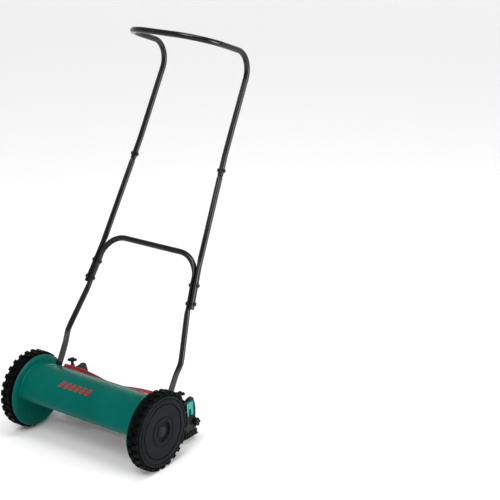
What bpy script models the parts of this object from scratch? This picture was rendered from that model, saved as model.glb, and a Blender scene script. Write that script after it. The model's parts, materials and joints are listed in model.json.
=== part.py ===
"""Reel mower: a hand-pushed lawn mower with a five-bladed reel, built as its separate pieces.

Units are metres, +Z is up and +Y is to the rear. The origin is on the ground under the middle
of the mower. Left and right are as seen from behind the handle, so left is +X. Helpers take
y and z from the wheel axle, and outlines are lists of (y, z) in the plane of a wheel.
"""

import math

import bmesh
import bpy
from mathutils import Matrix, Vector

GAP = 0.0003
SIDES = {"left": 1, "right": -1}

# Tubular handle. It leans back in one plane; s is measured up that plane from the pivot bolt.
TUBE_RADIUS = 0.008
BORE_RADIUS = 0.0066
LEAN = math.radians(61.5)
PIVOT = (0.072, 0.0333)
FOOT_X = 0.19555
FOOT_HALF_WIDTH = 0.0125
FOOT_HALF_THICKNESS = 0.00175
FOOT_FLAT_END_S = 0.084
KNEE_S = 0.1175
KNEE_X = 0.201
LOWER_BOLT = (0.1781, 0.276)
UPPER_BOLT = (0.1716, 0.3257)
OVAL_HALF_WIDTH = 0.009
OVAL_HALF_THICKNESS = 0.0055
OVERLAP_OFFSET = OVAL_HALF_THICKNESS + GAP / 2
OVERLAP_START_S = 0.262
OVERLAP_END_S = 0.338
CROSSBAR_S = 0.4045
CROSSBAR_CORNER = 0.0683
MIDDLE_BEND = (0.168, 0.395)
MID_BOLT = (0.1516, 0.6432)
SLEEVE_START_S = 0.628
SLEEVE_RADIUS = 0.0058
SLEEVE_TOP_S = 0.668
FOLD_S = 0.8993
FOLD_X = 0.1437
FOLD_RADIUS = 0.0611
FOLD_ANGLE = math.radians(98.6)
TOP_REACH = 0.1622
TOP_CORNER = 0.0983

# Wheels: solid round bodies of many flat sides, standing on one of them.
TYRE_RADIUS = 0.1075
TYRE_INNER_RADIUS = 0.0968
TYRE_SHOULDER = 0.0035
TYRE_BACK_X = 0.2075
TYRE_SIDES = 40
WHEEL_FACE_X = 0.2415
WHEEL_BACK_X = 0.2112
WHEEL_RADIUS = 0.0958
WHEEL_SIDES = 24
AXLE_RADIUS = 0.008
AXLE_END_X = 0.2388
HUB_END_X = 0.236
HUB_RECESS_RADIUS = 0.016

# Gears: module 2 mm, an internal ring gear of 70 teeth around a pinion of 14.
MODULE = 0.002
RING_TEETH = 70
PINION_TEETH = 14
PRESSURE_ANGLE = math.radians(20)
BACKLASH = 0.00035
GEAR_X = (0.2125, 0.2235)
PINION_X = (0.213, 0.223)
RING_OUTER_RADIUS = 0.076
REEL_Y = MODULE * (RING_TEETH - PINION_TEETH) / 2

# Reel: five helical blades on four spiders.
SHAFT_RADIUS = 0.006
REEL_RADIUS = 0.063
REEL_HALF_LENGTH = 0.19
BLADES = 5
BLADE_DEPTH = 0.014
BLADE_THICKNESS = 0.003
BLADE_TWIST = math.radians(92)
BLADE_STEPS = 16
BLADE_PHASE = math.radians(21)
SPIDER_X = (-0.183, -0.062, 0.062, 0.183)
SPIDER_THICKNESS = 0.003

# Side plates: a dished disc with a lug to the rear.
PLATE_INNER_X = 0.1976
PLATE_WEB_X = 0.2016
PLATE_RIM_X = 0.203
PLATE_RADIUS = 0.1005
PLATE_RIM_THICKNESS = 0.003
LUG_FACE_X = 0.2055

# Front cover: a shell around the reel, centred on the wheel axle, that curls in at the bottom.
COVER_RADIUS = 0.081
COVER_START = math.radians(57)
COVER_TURN = math.radians(162)
COVER_CURL_RADIUS = 0.0225
COVER_CURL_END = math.radians(249.4)
COVER_THICKNESS = 0.003
COVER_END_X = 0.1972
COLLAR_X = 0.158
PANEL_STEP = 0.001

# Bed knife, its carrier and the cross rod on which it tilts.
CROSS_ROD = (0.112, -0.045)
CROSS_ROD_RADIUS = 0.005
ROD_NECK_RADIUS = 0.004
KNIFE_EDGE_Y = 0.0724
KNIFE_WIDTH = 0.028
KNIFE_TOP_Z = -0.0614
KNIFE_THICKNESS = 0.003
KNIFE_HALF_LENGTH = 0.1795
KNIFE_BOLT = (0.1, 0.09)
ADJUSTER = (0.1935, 0.1315)
ADJUSTER_TIP_Z = 0.00365

# Roller carriage behind the reel, clamped to the lugs.
ROLLER_AXIS = (0.172, -0.0875)
ROLLER_RADIUS = 0.02
ROLLER_HALF_LENGTH = 0.185
ROLLER_SIDES = 24
BRACKET_X = (0.1903, 0.1973)
CLAMP_BOLT = (0.180, -0.052)
CLAMP_BOLT_RADIUS = 0.003
HEIGHT_DOWN = 0.012
HEIGHT_UP = 0.016

# The origin is midway between the front of the tyres and the back of the handle.
FOLD_Y = PIVOT[0] + FOLD_S * math.cos(LEAN) - FOLD_RADIUS * math.sin(LEAN)
AXLE_Y = (TYRE_RADIUS - FOLD_Y - FOLD_RADIUS - TUBE_RADIUS) / 2
AXLE_Z = TYRE_RADIUS


def start_collections():
    """Empty the scene and return the collections for the parts and for their cutters."""
    for item in list(bpy.data.objects):
        bpy.data.objects.remove(item, do_unlink=True)
    made = []
    for name in ("reel_mower", "cutters"):
        collection = bpy.data.collections.new(name)
        bpy.context.scene.collection.children.link(collection)
        made.append(collection)
    return made


PARTS, CUTTERS = start_collections()


def look(name, colour, roughness, metallic=0.0):
    """A plain Principled material."""
    material = bpy.data.materials.new(name)
    material.use_nodes = True
    shader = material.node_tree.nodes["Principled BSDF"]
    shader.inputs["Base Color"].default_value = (*colour, 1.0)
    shader.inputs["Roughness"].default_value = roughness
    shader.inputs["Metallic"].default_value = metallic
    return material


TEAL = look("teal_plastic", (0.0, 0.16, 0.125), 0.28)
BLACK_PAINT = look("black_paint", (0.012, 0.012, 0.013), 0.25)
BLACK_PLASTIC = look("black_plastic", (0.015, 0.015, 0.016), 0.5)
WHEEL_PLASTIC = look("wheel_plastic", (0.025, 0.03, 0.032), 0.45)
RUBBER = look("tyre_rubber", (0.008, 0.008, 0.008), 0.8)
RED_PAINT = look("red_paint", (0.45, 0.01, 0.03), 0.35)
STEEL = look("steel", (0.55, 0.55, 0.56), 0.35, 1.0)
BRONZE = look("bronze", (0.5, 0.33, 0.16), 0.4, 1.0)


def place(name, mesh, matrix, material, collection=PARTS):
    """Put a mesh in the scene under its piece's name."""
    piece = bpy.data.objects.new(name, mesh)
    piece.matrix_world = matrix
    mesh.materials.clear()
    mesh.materials.append(material)
    mesh.shade_smooth()
    mesh.set_sharp_from_angle(angle=math.radians(35))
    collection.objects.link(piece)
    return piece


def at(x, y, z):
    """World point from x and the offsets from the wheel axle."""
    return Vector((x, AXLE_Y + y, AXLE_Z + z))


def up_handle(x, s):
    """World point in the handle's plane, s up from the pivot bolts."""
    return at(x, PIVOT[0] + s * math.cos(LEAN), PIVOT[1] + s * math.sin(LEAN))


def lateral(y, z, side=1, x=0.0):
    """Matrix whose local X is the rear and whose local Z points out to the given side."""
    turn = Matrix(((0, 0, side), (1, 0, 0), (0, side, 0))).to_4x4()
    return Matrix.Translation(at(x, y, z)) @ turn


def along(start, end):
    """Matrix at the middle of two points, with local Z from the first to the second."""
    turn = (end - start).to_track_quat("Z", "Y").to_matrix().to_4x4()
    return Matrix.Translation((start + end) / 2) @ turn


def arc(centre, radius, start, end, steps):
    """Points on an arc, both ends included."""
    turns = [start + (end - start) * i / steps for i in range(steps + 1)]
    return [(centre[0] + radius * math.cos(t), centre[1] + radius * math.sin(t)) for t in turns]


def circle(centre, radius, sides):
    """A closed outline with its vertices on a circle."""
    return arc(centre, radius, 0, math.tau, sides)[:-1]


def lobed(radius, depth, lobes, points):
    """A round outline with rounded lobes, as on a hand knob."""
    turns = [math.tau * i / points for i in range(points)]
    radii = [radius - depth / 2 + depth / 2 * math.cos(lobes * t) for t in turns]
    return [(r * math.cos(t), r * math.sin(t)) for r, t in zip(radii, turns)]


def turned(name, profile, matrix, sides, material, closed=False, flat_down=False):
    """A piece turned about local Z from a profile of (radius, distance along the axis)."""
    mesh = bpy.data.meshes.new(name)
    edges = [(i, i + 1) for i in range(len(profile) - 1)]
    if closed:
        edges.append((len(profile) - 1, 0))
    mesh.from_pydata([(r, 0, z) for r, z in profile], edges, [])
    if flat_down:
        matrix = matrix @ Matrix.Rotation(math.pi / sides, 4, "Z")
    piece = place(name, mesh, matrix, material)
    screw = piece.modifiers.new("turn", "SCREW")
    screw.steps = sides
    screw.render_steps = sides
    screw.use_merge_vertices = True
    screw.merge_threshold = 0.00001
    screw.use_smooth_shade = False
    return piece


def flat(name, outlines, thickness, matrix, material, collection=PARTS):
    """A flat piece from closed outlines, the later ones being holes, centred on its plane."""
    curve = bpy.data.curves.new(name, "CURVE")
    curve.dimensions = "2D"
    curve.fill_mode = "BOTH"
    curve.extrude = thickness / 2
    for outline in outlines:
        spline = curve.splines.new("POLY")
        spline.points.add(len(outline) - 1)
        for point, (a, b) in zip(spline.points, outline):
            point.co = (a, b, 0, 1)
        spline.use_cyclic_u = True
    return meshed(name, curve, matrix, material, collection)


def meshed(name, curve, matrix, material, collection=PARTS):
    """A curve made a closed mesh, so that it can be cut and joined."""
    guide = bpy.data.objects.new(name + "_curve", curve)
    CUTTERS.objects.link(guide)
    evaluated = guide.evaluated_get(bpy.context.evaluated_depsgraph_get())
    mesh = bpy.data.meshes.new_from_object(evaluated)
    bpy.data.objects.remove(guide)
    shape = bmesh.new()
    shape.from_mesh(mesh)
    bmesh.ops.remove_doubles(shape, verts=shape.verts, dist=0.000001)
    bmesh.ops.recalc_face_normals(shape, faces=shape.faces)
    shape.to_mesh(mesh)
    shape.free()
    return place(name, mesh, matrix, material, collection)


def across(name, outlines, x_from, x_to, material, collection=PARTS):
    """A flat piece in the plane of a wheel, between two positions across the mower."""
    matrix = lateral(0, 0, x=(x_from + x_to) / 2)
    return flat(name, outlines, abs(x_to - x_from), matrix, material, collection)


def bar(name, radius, start, end, sides, material=STEEL, collection=PARTS):
    """A plain round bar between two points."""
    shape = bmesh.new()
    length = (end - start).length
    bmesh.ops.create_cone(
        shape, cap_ends=True, segments=sides, radius1=radius, radius2=radius, depth=length
    )
    mesh = bpy.data.meshes.new(name)
    shape.to_mesh(mesh)
    shape.free()
    return place(name, mesh, along(start, end), material, collection)


def block(name, low, high, material, collection=PARTS):
    """A box between two corners given from the wheel axle."""
    shape = bmesh.new()
    bmesh.ops.create_cube(shape, size=1)
    size = Vector(high) - Vector(low)
    bmesh.ops.scale(shape, vec=[abs(side) for side in size], verts=shape.verts)
    mesh = bpy.data.meshes.new(name)
    shape.to_mesh(mesh)
    shape.free()
    middle = (Vector(high) + Vector(low)) / 2
    return place(name, mesh, Matrix.Translation(at(*middle)), material, collection)


def combine(piece, tool, operation):
    """Cut or join a piece with a tool, which is then only a guide."""
    modifier = piece.modifiers.new(operation.lower(), "BOOLEAN")
    modifier.operation = operation
    modifier.object = tool
    tool.hide_render = True
    tool.display_type = "WIRE"


def cut(piece, tool):
    combine(piece, tool, "DIFFERENCE")


def join(piece, tool):
    combine(piece, tool, "UNION")


def loft(name, stations, sides, material, collection=PARTS):
    """A body through sections of (centre, half width, half thickness, squareness).

    The half width is square to the handle's plane. Squareness 1 is an ellipse, and lower values
    are closer to a rectangle.
    """
    normal = Vector((0, -math.sin(LEAN), math.cos(LEAN)))
    shape = bmesh.new()
    rings = []
    for i, (centre, width, thickness, squareness) in enumerate(stations):
        before = stations[max(i - 1, 0)][0]
        after = stations[min(i + 1, len(stations) - 1)][0]
        inward = normal.cross((after - before).normalized())
        ring = []
        for k in range(sides):
            turn = math.tau * (k + 0.5) / sides
            u = math.copysign(abs(math.cos(turn)) ** squareness, math.cos(turn))
            v = math.copysign(abs(math.sin(turn)) ** squareness, math.sin(turn))
            ring.append(shape.verts.new(centre + normal * width * u + inward * thickness * v))
        rings.append(ring)
    for first, second in zip(rings, rings[1:]):
        for k in range(sides):
            following = (k + 1) % sides
            shape.faces.new((first[k], first[following], second[following], second[k]))
    shape.faces.new(rings[0])
    shape.faces.new(rings[-1])
    bmesh.ops.recalc_face_normals(shape, faces=shape.faces)
    mesh = bpy.data.meshes.new(name)
    shape.to_mesh(mesh)
    shape.free()
    return place(name, mesh, Matrix(), material, collection)


def tube_curve(name, points, radius, resolution, material, collection=PARTS):
    """A round bar along points, from a curve with a bevel."""
    curve = bpy.data.curves.new(name, "CURVE")
    curve.dimensions = "3D"
    curve.bevel_depth = radius
    curve.bevel_resolution = resolution
    curve.use_fill_caps = True
    spline = curve.splines.new("POLY")
    spline.points.add(len(points) - 1)
    for point, where in zip(spline.points, points):
        point.co = (*where, 1)
    return meshed(name, curve, Matrix(), material, collection)


def axis_at(name, where, pieces):
    """An empty on a joint's axis, which carries the pieces that move on it."""
    empty = bpy.data.objects.new(name, None)
    empty.location = where
    PARTS.objects.link(empty)
    for piece in pieces:
        piece.parent = empty
        piece.matrix_parent_inverse = Matrix.Translation(where).inverted()


def fastener(name, start, end, shank, head, head_height, sides=10, material=STEEL):
    """A bolt with its nut run on, the clamped pieces lying between the two points."""
    half = (end - start).length / 2
    profile = [
        (0, half + head_height),
        (head, half + head_height),
        (head, half),
        (shank, half),
        (shank, -half),
        (head, -half),
        (head, -half - head_height),
        (0, -half - head_height),
    ]
    return turned(name, profile, along(start, end), sides, material)


# ---------------------------------------------------------------- side plates and cover


def side_plate(word, side):
    """Dished plate with its rear lug, adjuster shelf, handle stop, cover rib and bracket key."""
    dish = [
        (PLATE_RADIUS, PLATE_RIM_X),
        (PLATE_RADIUS, PLATE_INNER_X),
        (AXLE_RADIUS + GAP, PLATE_INNER_X),
        (AXLE_RADIUS + GAP, PLATE_WEB_X),
        (PLATE_RADIUS - PLATE_RIM_THICKNESS, PLATE_WEB_X),
        (PLATE_RADIUS - PLATE_RIM_THICKNESS, PLATE_RIM_X),
    ]
    matrix = lateral(0, 0, side)
    plate = turned("side_plate_" + word, dish, matrix, TYRE_SIDES, TEAL, closed=True)

    rod_end = circle(CROSS_ROD, ROD_NECK_RADIUS + GAP, 12)
    bolt_hole = circle(CLAMP_BOLT, CLAMP_BOLT_RADIUS + GAP, 12)
    lobe = arc(CLAMP_BOLT, 0.0105, -math.pi / 2, math.radians(50), 5)
    lug = [(0.085, -0.05), (0.104, -0.062), (0.128, -0.0625)]
    lug += lobe
    lug += [(0.172, -0.027), (0.172, 0.013), (0.141, 0.013)]
    lug += [(0.12, 0.016), (0.105, 0.028), (0.085, 0.03)]
    inset = 0.0003
    web = across(
        f"lug_{word}",
        [lug, rod_end, bolt_hole],
        side * (PLATE_INNER_X + inset),
        side * (PLATE_WEB_X - inset),
        TEAL,
        CUTTERS,
    )
    join(plate, web)

    slot_top = arc((0.158, -0.012), 0.005, 0, math.pi, 4)
    face = [(0.1717, -0.0267), (0.1717, 0.0127), (0.1455, 0.0127)]
    face += [(0.1455, -0.0267), (0.153, -0.0267)]
    face += slot_top[::-1]
    face += [(0.163, -0.0267)]
    raised_from = side * (PLATE_WEB_X - 2 * inset)
    join(plate, across(f"lug_face_{word}", [face], raised_from, side * LUG_FACE_X, TEAL, CUTTERS))

    shelf_x = side * (ADJUSTER[0] - 0.0075)
    shelf_end = side * (PLATE_INNER_X + 2 * inset)
    shelf = block(f"shelf_{word}", (shelf_x, 0.122, 0.007), (shelf_end, 0.141, 0.0126), TEAL, CUTTERS)
    join(plate, shelf)

    rib_radius = COVER_RADIUS - COVER_THICKNESS - PANEL_STEP + GAP
    rib_turns = (math.radians(62), math.radians(155))
    rib_outer = arc((0, 0), rib_radius, *rib_turns, 12)
    rib_inner = arc((0, 0), rib_radius - COVER_THICKNESS, *reversed(rib_turns), 12)
    rib_start = side * (REEL_HALF_LENGTH + 0.001)
    join(plate, across(f"rib_{word}", [rib_outer + rib_inner], rib_start, shelf_end, TEAL, CUTTERS))

    stop_rear = FOOT_HALF_WIDTH + 0.004 + GAP
    stop_up = 0.012
    stop = (
        PIVOT[0] + stop_up * math.cos(LEAN) + stop_rear * math.sin(LEAN),
        PIVOT[1] + stop_up * math.sin(LEAN) - stop_rear * math.cos(LEAN),
    )
    stop_start = side * (FOOT_X - 0.002)
    join(plate, across(f"stop_{word}", [circle(stop, 0.004, 12)], stop_start, shelf_end, TEAL, CUTTERS))

    key_start = side * (BRACKET_X[1] - 0.0017)
    key = block(f"key_{word}", (key_start, 0.1555, -0.045), (shelf_end, 0.1605, -0.005), TEAL, CUTTERS)
    join(plate, key)

    through = (side * 0.18, side * 0.215)
    holes = {"bush": ((REEL_Y, 0), 0.0093), "pivot": (PIVOT, 0.0053)}
    for hole, ((y, z), radius) in holes.items():
        ends = [at(x, y, z) for x in through]
        cut(plate, bar(f"{hole}_hole_{word}", radius, *ends, 16, STEEL, CUTTERS))
    screw_hole = [at(side * ADJUSTER[0], ADJUSTER[1], z) for z in (0, 0.02)]
    cut(plate, bar(f"adjuster_hole_{word}", 0.0028, *screw_hole, 12, STEEL, CUTTERS))
    return plate


def cover_outline(inset):
    """Section of the cover: round about the wheel axle, then curling in at its lower edge."""
    turn = (math.cos(COVER_TURN), math.sin(COVER_TURN))
    offset = COVER_RADIUS - COVER_CURL_RADIUS
    curl_centre = (turn[0] * offset, turn[1] * offset)
    outline = arc((0, 0), COVER_RADIUS - inset, COVER_START, COVER_TURN, 10)
    curl = arc(curl_centre, COVER_CURL_RADIUS - inset, COVER_TURN, COVER_CURL_END, 6)
    return outline + curl[1:]


def front_cover():
    """Thin shell between the side plates, its middle panel a little lower than its collars."""
    step_x = COLLAR_X - 2 * PANEL_STEP
    rows = [
        (-COVER_END_X, 0),
        (-COLLAR_X, 0),
        (-step_x, PANEL_STEP),
        (step_x, PANEL_STEP),
        (COLLAR_X, 0),
        (COVER_END_X, 0),
    ]
    points = [at(x, y, z) for x, inset in rows for y, z in cover_outline(inset)]
    width = len(cover_outline(0))
    faces = []
    for row in range(len(rows) - 1):
        for k in range(width - 1):
            first = row * width + k
            faces.append((first, first + 1, first + width + 1, first + width))
    mesh = bpy.data.meshes.new("front_cover")
    mesh.from_pydata(points, [], faces)
    cover = place("front_cover", mesh, Matrix(), TEAL)
    shell = cover.modifiers.new("thickness", "SOLIDIFY")
    shell.thickness = COVER_THICKNESS
    shell.offset = -1
    shell.use_even_offset = True
    return cover


# ---------------------------------------------------------------- wheels and gears


def gear_half_angle(radius, teeth):
    """Half the angle of an involute tooth at a radius, before backlash."""
    pitch = MODULE * teeth / 2
    base = pitch * math.cos(PRESSURE_ANGLE)
    here = math.acos(min(1.0, base / max(radius, base)))
    at_pitch = math.tan(PRESSURE_ANGLE) - PRESSURE_ANGLE
    return math.pi / (2 * teeth) + at_pitch - (math.tan(here) - here)


def gear_outline(radii, teeth, slack):
    """Toothed outline through the given flank radii, from root to tip, a tooth at angle 0."""
    outline = []
    pitch = MODULE * teeth / 2
    for tooth in range(teeth):
        middle = math.tau * tooth / teeth
        rising = [(r, middle - gear_half_angle(r, teeth) - slack / pitch) for r in radii]
        falling = [(r, middle + gear_half_angle(r, teeth) + slack / pitch) for r in reversed(radii)]
        outline += [(r * math.cos(t), r * math.sin(t)) for r, t in rising + falling]
    return outline


def ring_gear(word, side):
    """Internal gear, whose spaces have the outline of an external gear's teeth."""
    spaces = gear_outline((0.0686, 0.0725), RING_TEETH, BACKLASH / 2)
    rim = circle((0, 0), RING_OUTER_RADIUS, RING_TEETH)
    ends = [side * x for x in GEAR_X]
    return across("ring_gear_" + word, [rim, spaces], *ends, STEEL)


def pinion(word, side):
    """Pinion around the reel shaft, with a recess and notches for the drive key."""
    teeth = gear_outline((0.0115, 0.0134, 0.0147, 0.016), PINION_TEETH, -BACKLASH / 2)
    teeth = [(REEL_Y + y, z) for y, z in teeth]
    bore = circle((REEL_Y, 0), SHAFT_RADIUS + GAP, 16)
    gear = across("pinion_" + word, [teeth, bore], *[side * x for x in PINION_X], STEEL)
    notched = lobed(0.0096, 0.0016, 4, 32)
    notched = [(REEL_Y + y, z) for y, z in notched]
    pocket_x = (side * 0.2165, side * (PINION_X[1] + 0.002))
    cut(gear, across(f"pinion_pocket_{word}", [notched], *pocket_x, STEEL, CUTTERS))
    return gear


def drive_key(word, side, slide):
    """Flat key through the shaft, slid sideways until one end stands in a notch."""
    half_length = 0.0075
    low = (side * 0.2175, REEL_Y + slide - half_length, -0.002)
    high = (side * 0.2205, REEL_Y + slide + half_length, 0.002)
    return block("drive_key_" + word, low, high, STEEL)


def wheel(word, side):
    """Plastic wheel, open towards the plate, with a seat for the ring gear around its hub."""
    profile = [
        (WHEEL_RADIUS, WHEEL_FACE_X - 0.0012),
        (WHEEL_RADIUS, WHEEL_BACK_X + GAP),
        (0.091, WHEEL_BACK_X + GAP),
        (0.091, 0.237),
        (0.0802, 0.237),
        (0.0802, WHEEL_BACK_X + 2 * GAP),
        (0.0771, WHEEL_BACK_X + 2 * GAP),
        (0.0771, 0.2355),
        (0.015, 0.2325),
        (0.015, WHEEL_BACK_X + GAP),
        (AXLE_RADIUS + GAP, WHEEL_BACK_X + GAP),
        (AXLE_RADIUS + GAP, HUB_END_X),
        (HUB_RECESS_RADIUS, HUB_END_X),
        (HUB_RECESS_RADIUS + 0.0015, 0.2372),
        (0.036, WHEEL_FACE_X - 0.0002),
        (0.0945, WHEEL_FACE_X),
    ]
    return turned("wheel_" + word, profile, lateral(0, 0, side), WHEEL_SIDES, WHEEL_PLASTIC, True)


def tyre(word, side):
    """Plain tyre, standing on one of its flats."""
    outer = TYRE_RADIUS / math.cos(math.pi / TYRE_SIDES)
    profile = [
        (outer, WHEEL_FACE_X - TYRE_SHOULDER),
        (outer, TYRE_BACK_X + TYRE_SHOULDER),
        (outer - TYRE_SHOULDER, TYRE_BACK_X),
        (TYRE_INNER_RADIUS, TYRE_BACK_X),
        (TYRE_INNER_RADIUS, WHEEL_FACE_X),
        (outer - TYRE_SHOULDER, WHEEL_FACE_X),
    ]
    matrix = lateral(0, 0, side)
    return turned("tyre_" + word, profile, matrix, TYRE_SIDES, RUBBER, closed=True, flat_down=True)


def hub_cap(word, side):
    """Snap-in cap over the end of the axle."""
    profile = [
        (0, 0.2414),
        (0.013, 0.2412),
        (0.0155, 0.24),
        (0.0155, HUB_END_X + GAP),
        (0.0132, HUB_END_X + GAP),
        (0.0132, AXLE_END_X + GAP),
        (0, AXLE_END_X + GAP),
    ]
    return turned("hub_cap_" + word, profile, lateral(0, 0, side), 16, BLACK_PLASTIC)


def axle_stub(word, side):
    """Shouldered stub, riveted into the plate and grooved for its clip."""
    shoulder_x = PLATE_WEB_X + GAP
    head_x = PLATE_INNER_X - GAP
    groove = (0.2381, 0.2362)
    profile = [
        (0, AXLE_END_X),
        (AXLE_RADIUS, AXLE_END_X),
        (AXLE_RADIUS, groove[0]),
        (0.0066, groove[0]),
        (0.0066, groove[1]),
        (AXLE_RADIUS, groove[1]),
        (AXLE_RADIUS, 0.2075),
        (0.013, 0.2075),
        (0.013, shoulder_x),
        (AXLE_RADIUS, shoulder_x),
        (AXLE_RADIUS, head_x),
        (0.014, head_x),
        (0.014, 0.1935),
        (0, 0.1935),
    ]
    return turned("axle_stub_" + word, profile, lateral(0, 0, side), 12, STEEL)


def axle_clip(word, side):
    """Ring in the axle's groove that keeps the wheel on."""
    profile = [(0.0115, 0.2378), (0.0115, 0.2365), (0.0069, 0.2365), (0.0069, 0.2378)]
    return turned("axle_clip_" + word, profile, lateral(0, 0, side), 16, STEEL, closed=True)


# ---------------------------------------------------------------- reel


def reel_shaft():
    """Steel shaft with a collar inside each bush and a slot near each end for a drive key."""
    collar = 0.008
    half = [(0, 0.2226), (SHAFT_RADIUS, 0.2226), (SHAFT_RADIUS, 0.1966), (collar, 0.1966), (collar, 0.1905)]
    half.append((SHAFT_RADIUS, 0.1905))
    profile = half + [(r, -x) for r, x in reversed(half)]
    shaft = turned("reel_shaft", profile, lateral(REEL_Y, 0), 16, STEEL)
    for word, side in SIDES.items():
        low = (side * 0.2172, REEL_Y - 0.01, -0.0023)
        high = (side * 0.2208, REEL_Y + 0.01, 0.0023)
        cut(shaft, block(f"key_slot_{word}", low, high, STEEL, CUTTERS))
    return shaft


def blade_angle(number, x):
    """Direction of a blade, from the rear, at a position across the mower."""
    return BLADE_PHASE + math.tau * number / BLADES + BLADE_TWIST * x / (2 * REEL_HALF_LENGTH)


def reel_blade(number):
    """Helical strip, lofted through its twisted sections."""
    shape = bmesh.new()
    rings = []
    for step in range(BLADE_STEPS + 1):
        x = REEL_HALF_LENGTH * (2 * step / BLADE_STEPS - 1)
        turn = blade_angle(number, x)
        out = Vector((0, math.cos(turn), math.sin(turn)))
        side = Vector((0, -math.sin(turn), math.cos(turn))) * BLADE_THICKNESS / 2
        outer = math.sqrt(REEL_RADIUS**2 - (BLADE_THICKNESS / 2) ** 2)
        inner = REEL_RADIUS - BLADE_DEPTH
        corners = [out * inner - side, out * outer - side, out * outer + side, out * inner + side]
        rings.append([shape.verts.new(at(x, REEL_Y, 0) + corner) for corner in corners])
    for first, second in zip(rings, rings[1:]):
        for k in range(4):
            following = (k + 1) % 4
            shape.faces.new((first[k], first[following], second[following], second[k]))
    shape.faces.new(rings[0])
    shape.faces.new(rings[-1])
    bmesh.ops.recalc_face_normals(shape, faces=shape.faces)
    mesh = bpy.data.meshes.new("reel_blade")
    shape.to_mesh(mesh)
    shape.free()
    return place(f"reel_blade_{number + 1}", mesh, Matrix(), RED_PAINT)


def reel_spider(number, x):
    """Five-armed disc on the shaft, one arm to each blade."""
    hub = 0.012
    tip = REEL_RADIUS - BLADE_DEPTH - 0.0005
    arm_half = 0.005
    outline = []
    for arm in range(BLADES):
        turn = blade_angle(arm, x)
        spread = math.asin(arm_half / tip)
        root = math.asin(arm_half / hub)
        gap_middle = turn + math.pi / BLADES
        corners = [(hub, turn - root), (tip, turn - spread), (tip, turn + spread), (hub, turn + root)]
        corners.append((hub, gap_middle))
        outline += [(REEL_Y + r * math.cos(t), r * math.sin(t)) for r, t in corners]
    bore = circle((REEL_Y, 0), SHAFT_RADIUS + GAP, 16)
    half = SPIDER_THICKNESS / 2
    return across(f"reel_spider_{number + 1}", [outline, bore], x - half, x + half, STEEL)


def reel_bush(word, side):
    """Flanged bush in the plate for the reel shaft."""
    profile = [
        (0.009, 0.2124),
        (0.009, 0.2043),
        (0.012, 0.2043),
        (0.012, PLATE_WEB_X + GAP),
        (0.009, PLATE_WEB_X + GAP),
        (0.009, 0.1969),
        (SHAFT_RADIUS + GAP, 0.1969),
        (SHAFT_RADIUS + GAP, 0.2124),
    ]
    return turned("reel_bush_" + word, profile, lateral(REEL_Y, 0, side), 12, BRONZE, closed=True)


# ---------------------------------------------------------------- bed knife


def cross_rod():
    """Rod that ties the plates together, riveted over outside them."""
    half = [
        (0, 0.206),
        (0.008, 0.206),
        (0.008, PLATE_WEB_X + GAP),
        (ROD_NECK_RADIUS, PLATE_WEB_X + GAP),
        (ROD_NECK_RADIUS, PLATE_INNER_X - GAP),
        (CROSS_ROD_RADIUS, PLATE_INNER_X - GAP),
    ]
    profile = half + [(r, -x) for r, x in reversed(half)]
    return turned("cross_rod", profile, lateral(*CROSS_ROD), 12, STEEL)


def bedknife_carrier():
    """Angle bar under the knife, with an ear at each end that tilts on the cross rod."""
    seat_z = KNIFE_TOP_Z - KNIFE_THICKNESS - GAP
    bottom_z = seat_z - 0.004
    section = [(0.077, bottom_z), (0.106, bottom_z), (0.106, -0.0505), (0.1025, -0.0505)]
    section += [(0.1025, seat_z), (0.077, seat_z)]
    half = KNIFE_HALF_LENGTH + 0.0015
    carrier = across("bedknife_carrier", [section], -half, half, BLACK_PAINT)
    inset = 0.0002
    ear = [(0.08, bottom_z + inset), (0.11, bottom_z + inset), (0.12, -0.052), (0.123, -0.04)]
    ear += [(0.131, -0.022), (0.1375, -0.003), (0.1375, 0.0033), (0.1255, 0.0033), (0.124, -0.008)]
    ear += [(0.118, -0.028), (0.1043, -0.047), (0.102, -0.05)]
    ear += [(0.102, seat_z - inset), (0.08, seat_z - inset)]
    bore = circle(CROSS_ROD, CROSS_ROD_RADIUS + GAP, 12)
    for word, side in SIDES.items():
        ear_x = (side * (KNIFE_HALF_LENGTH + 0.0005), side * 0.1885)
        join(carrier, across(f"ear_{word}", [ear, bore], *ear_x, BLACK_PAINT, CUTTERS))
        low = (side * 0.182, 0.1265, -0.002)
        high = (side * (ADJUSTER[0] + 0.003), 0.1365, ADJUSTER_TIP_Z - 0.0005)
        join(carrier, block(f"tail_{word}", low, high, BLACK_PAINT, CUTTERS))
        cut(carrier, knife_hole(word, side, "carrier"))
    return carrier


def knife_hole(word, side, piece):
    """Hole for one of the knife's bolts."""
    ends = [at(side * KNIFE_BOLT[0], KNIFE_BOLT[1], z) for z in (-0.08, -0.05)]
    return bar(f"{piece}_hole_{word}", 0.0033, *ends, 12, STEEL, CUTTERS)


def bedknife():
    """Flat knife, its front edge just clear of the reel."""
    low = (-KNIFE_HALF_LENGTH, KNIFE_EDGE_Y, KNIFE_TOP_Z - KNIFE_THICKNESS)
    high = (KNIFE_HALF_LENGTH, KNIFE_EDGE_Y + KNIFE_WIDTH, KNIFE_TOP_Z)
    knife = block("bedknife", low, high, STEEL)
    for word, side in SIDES.items():
        cut(knife, knife_hole(word, side, "knife"))
    return knife


def bedknife_bolt(word, side):
    """Bolt that clamps the knife to its carrier, with its nut."""
    low = at(side * KNIFE_BOLT[0], KNIFE_BOLT[1], KNIFE_TOP_Z - KNIFE_THICKNESS - 0.0046)
    high = at(side * KNIFE_BOLT[0], KNIFE_BOLT[1], KNIFE_TOP_Z + GAP)
    return fastener("bedknife_bolt_" + word, low, high, 0.003, 0.0055, 0.0025)


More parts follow.
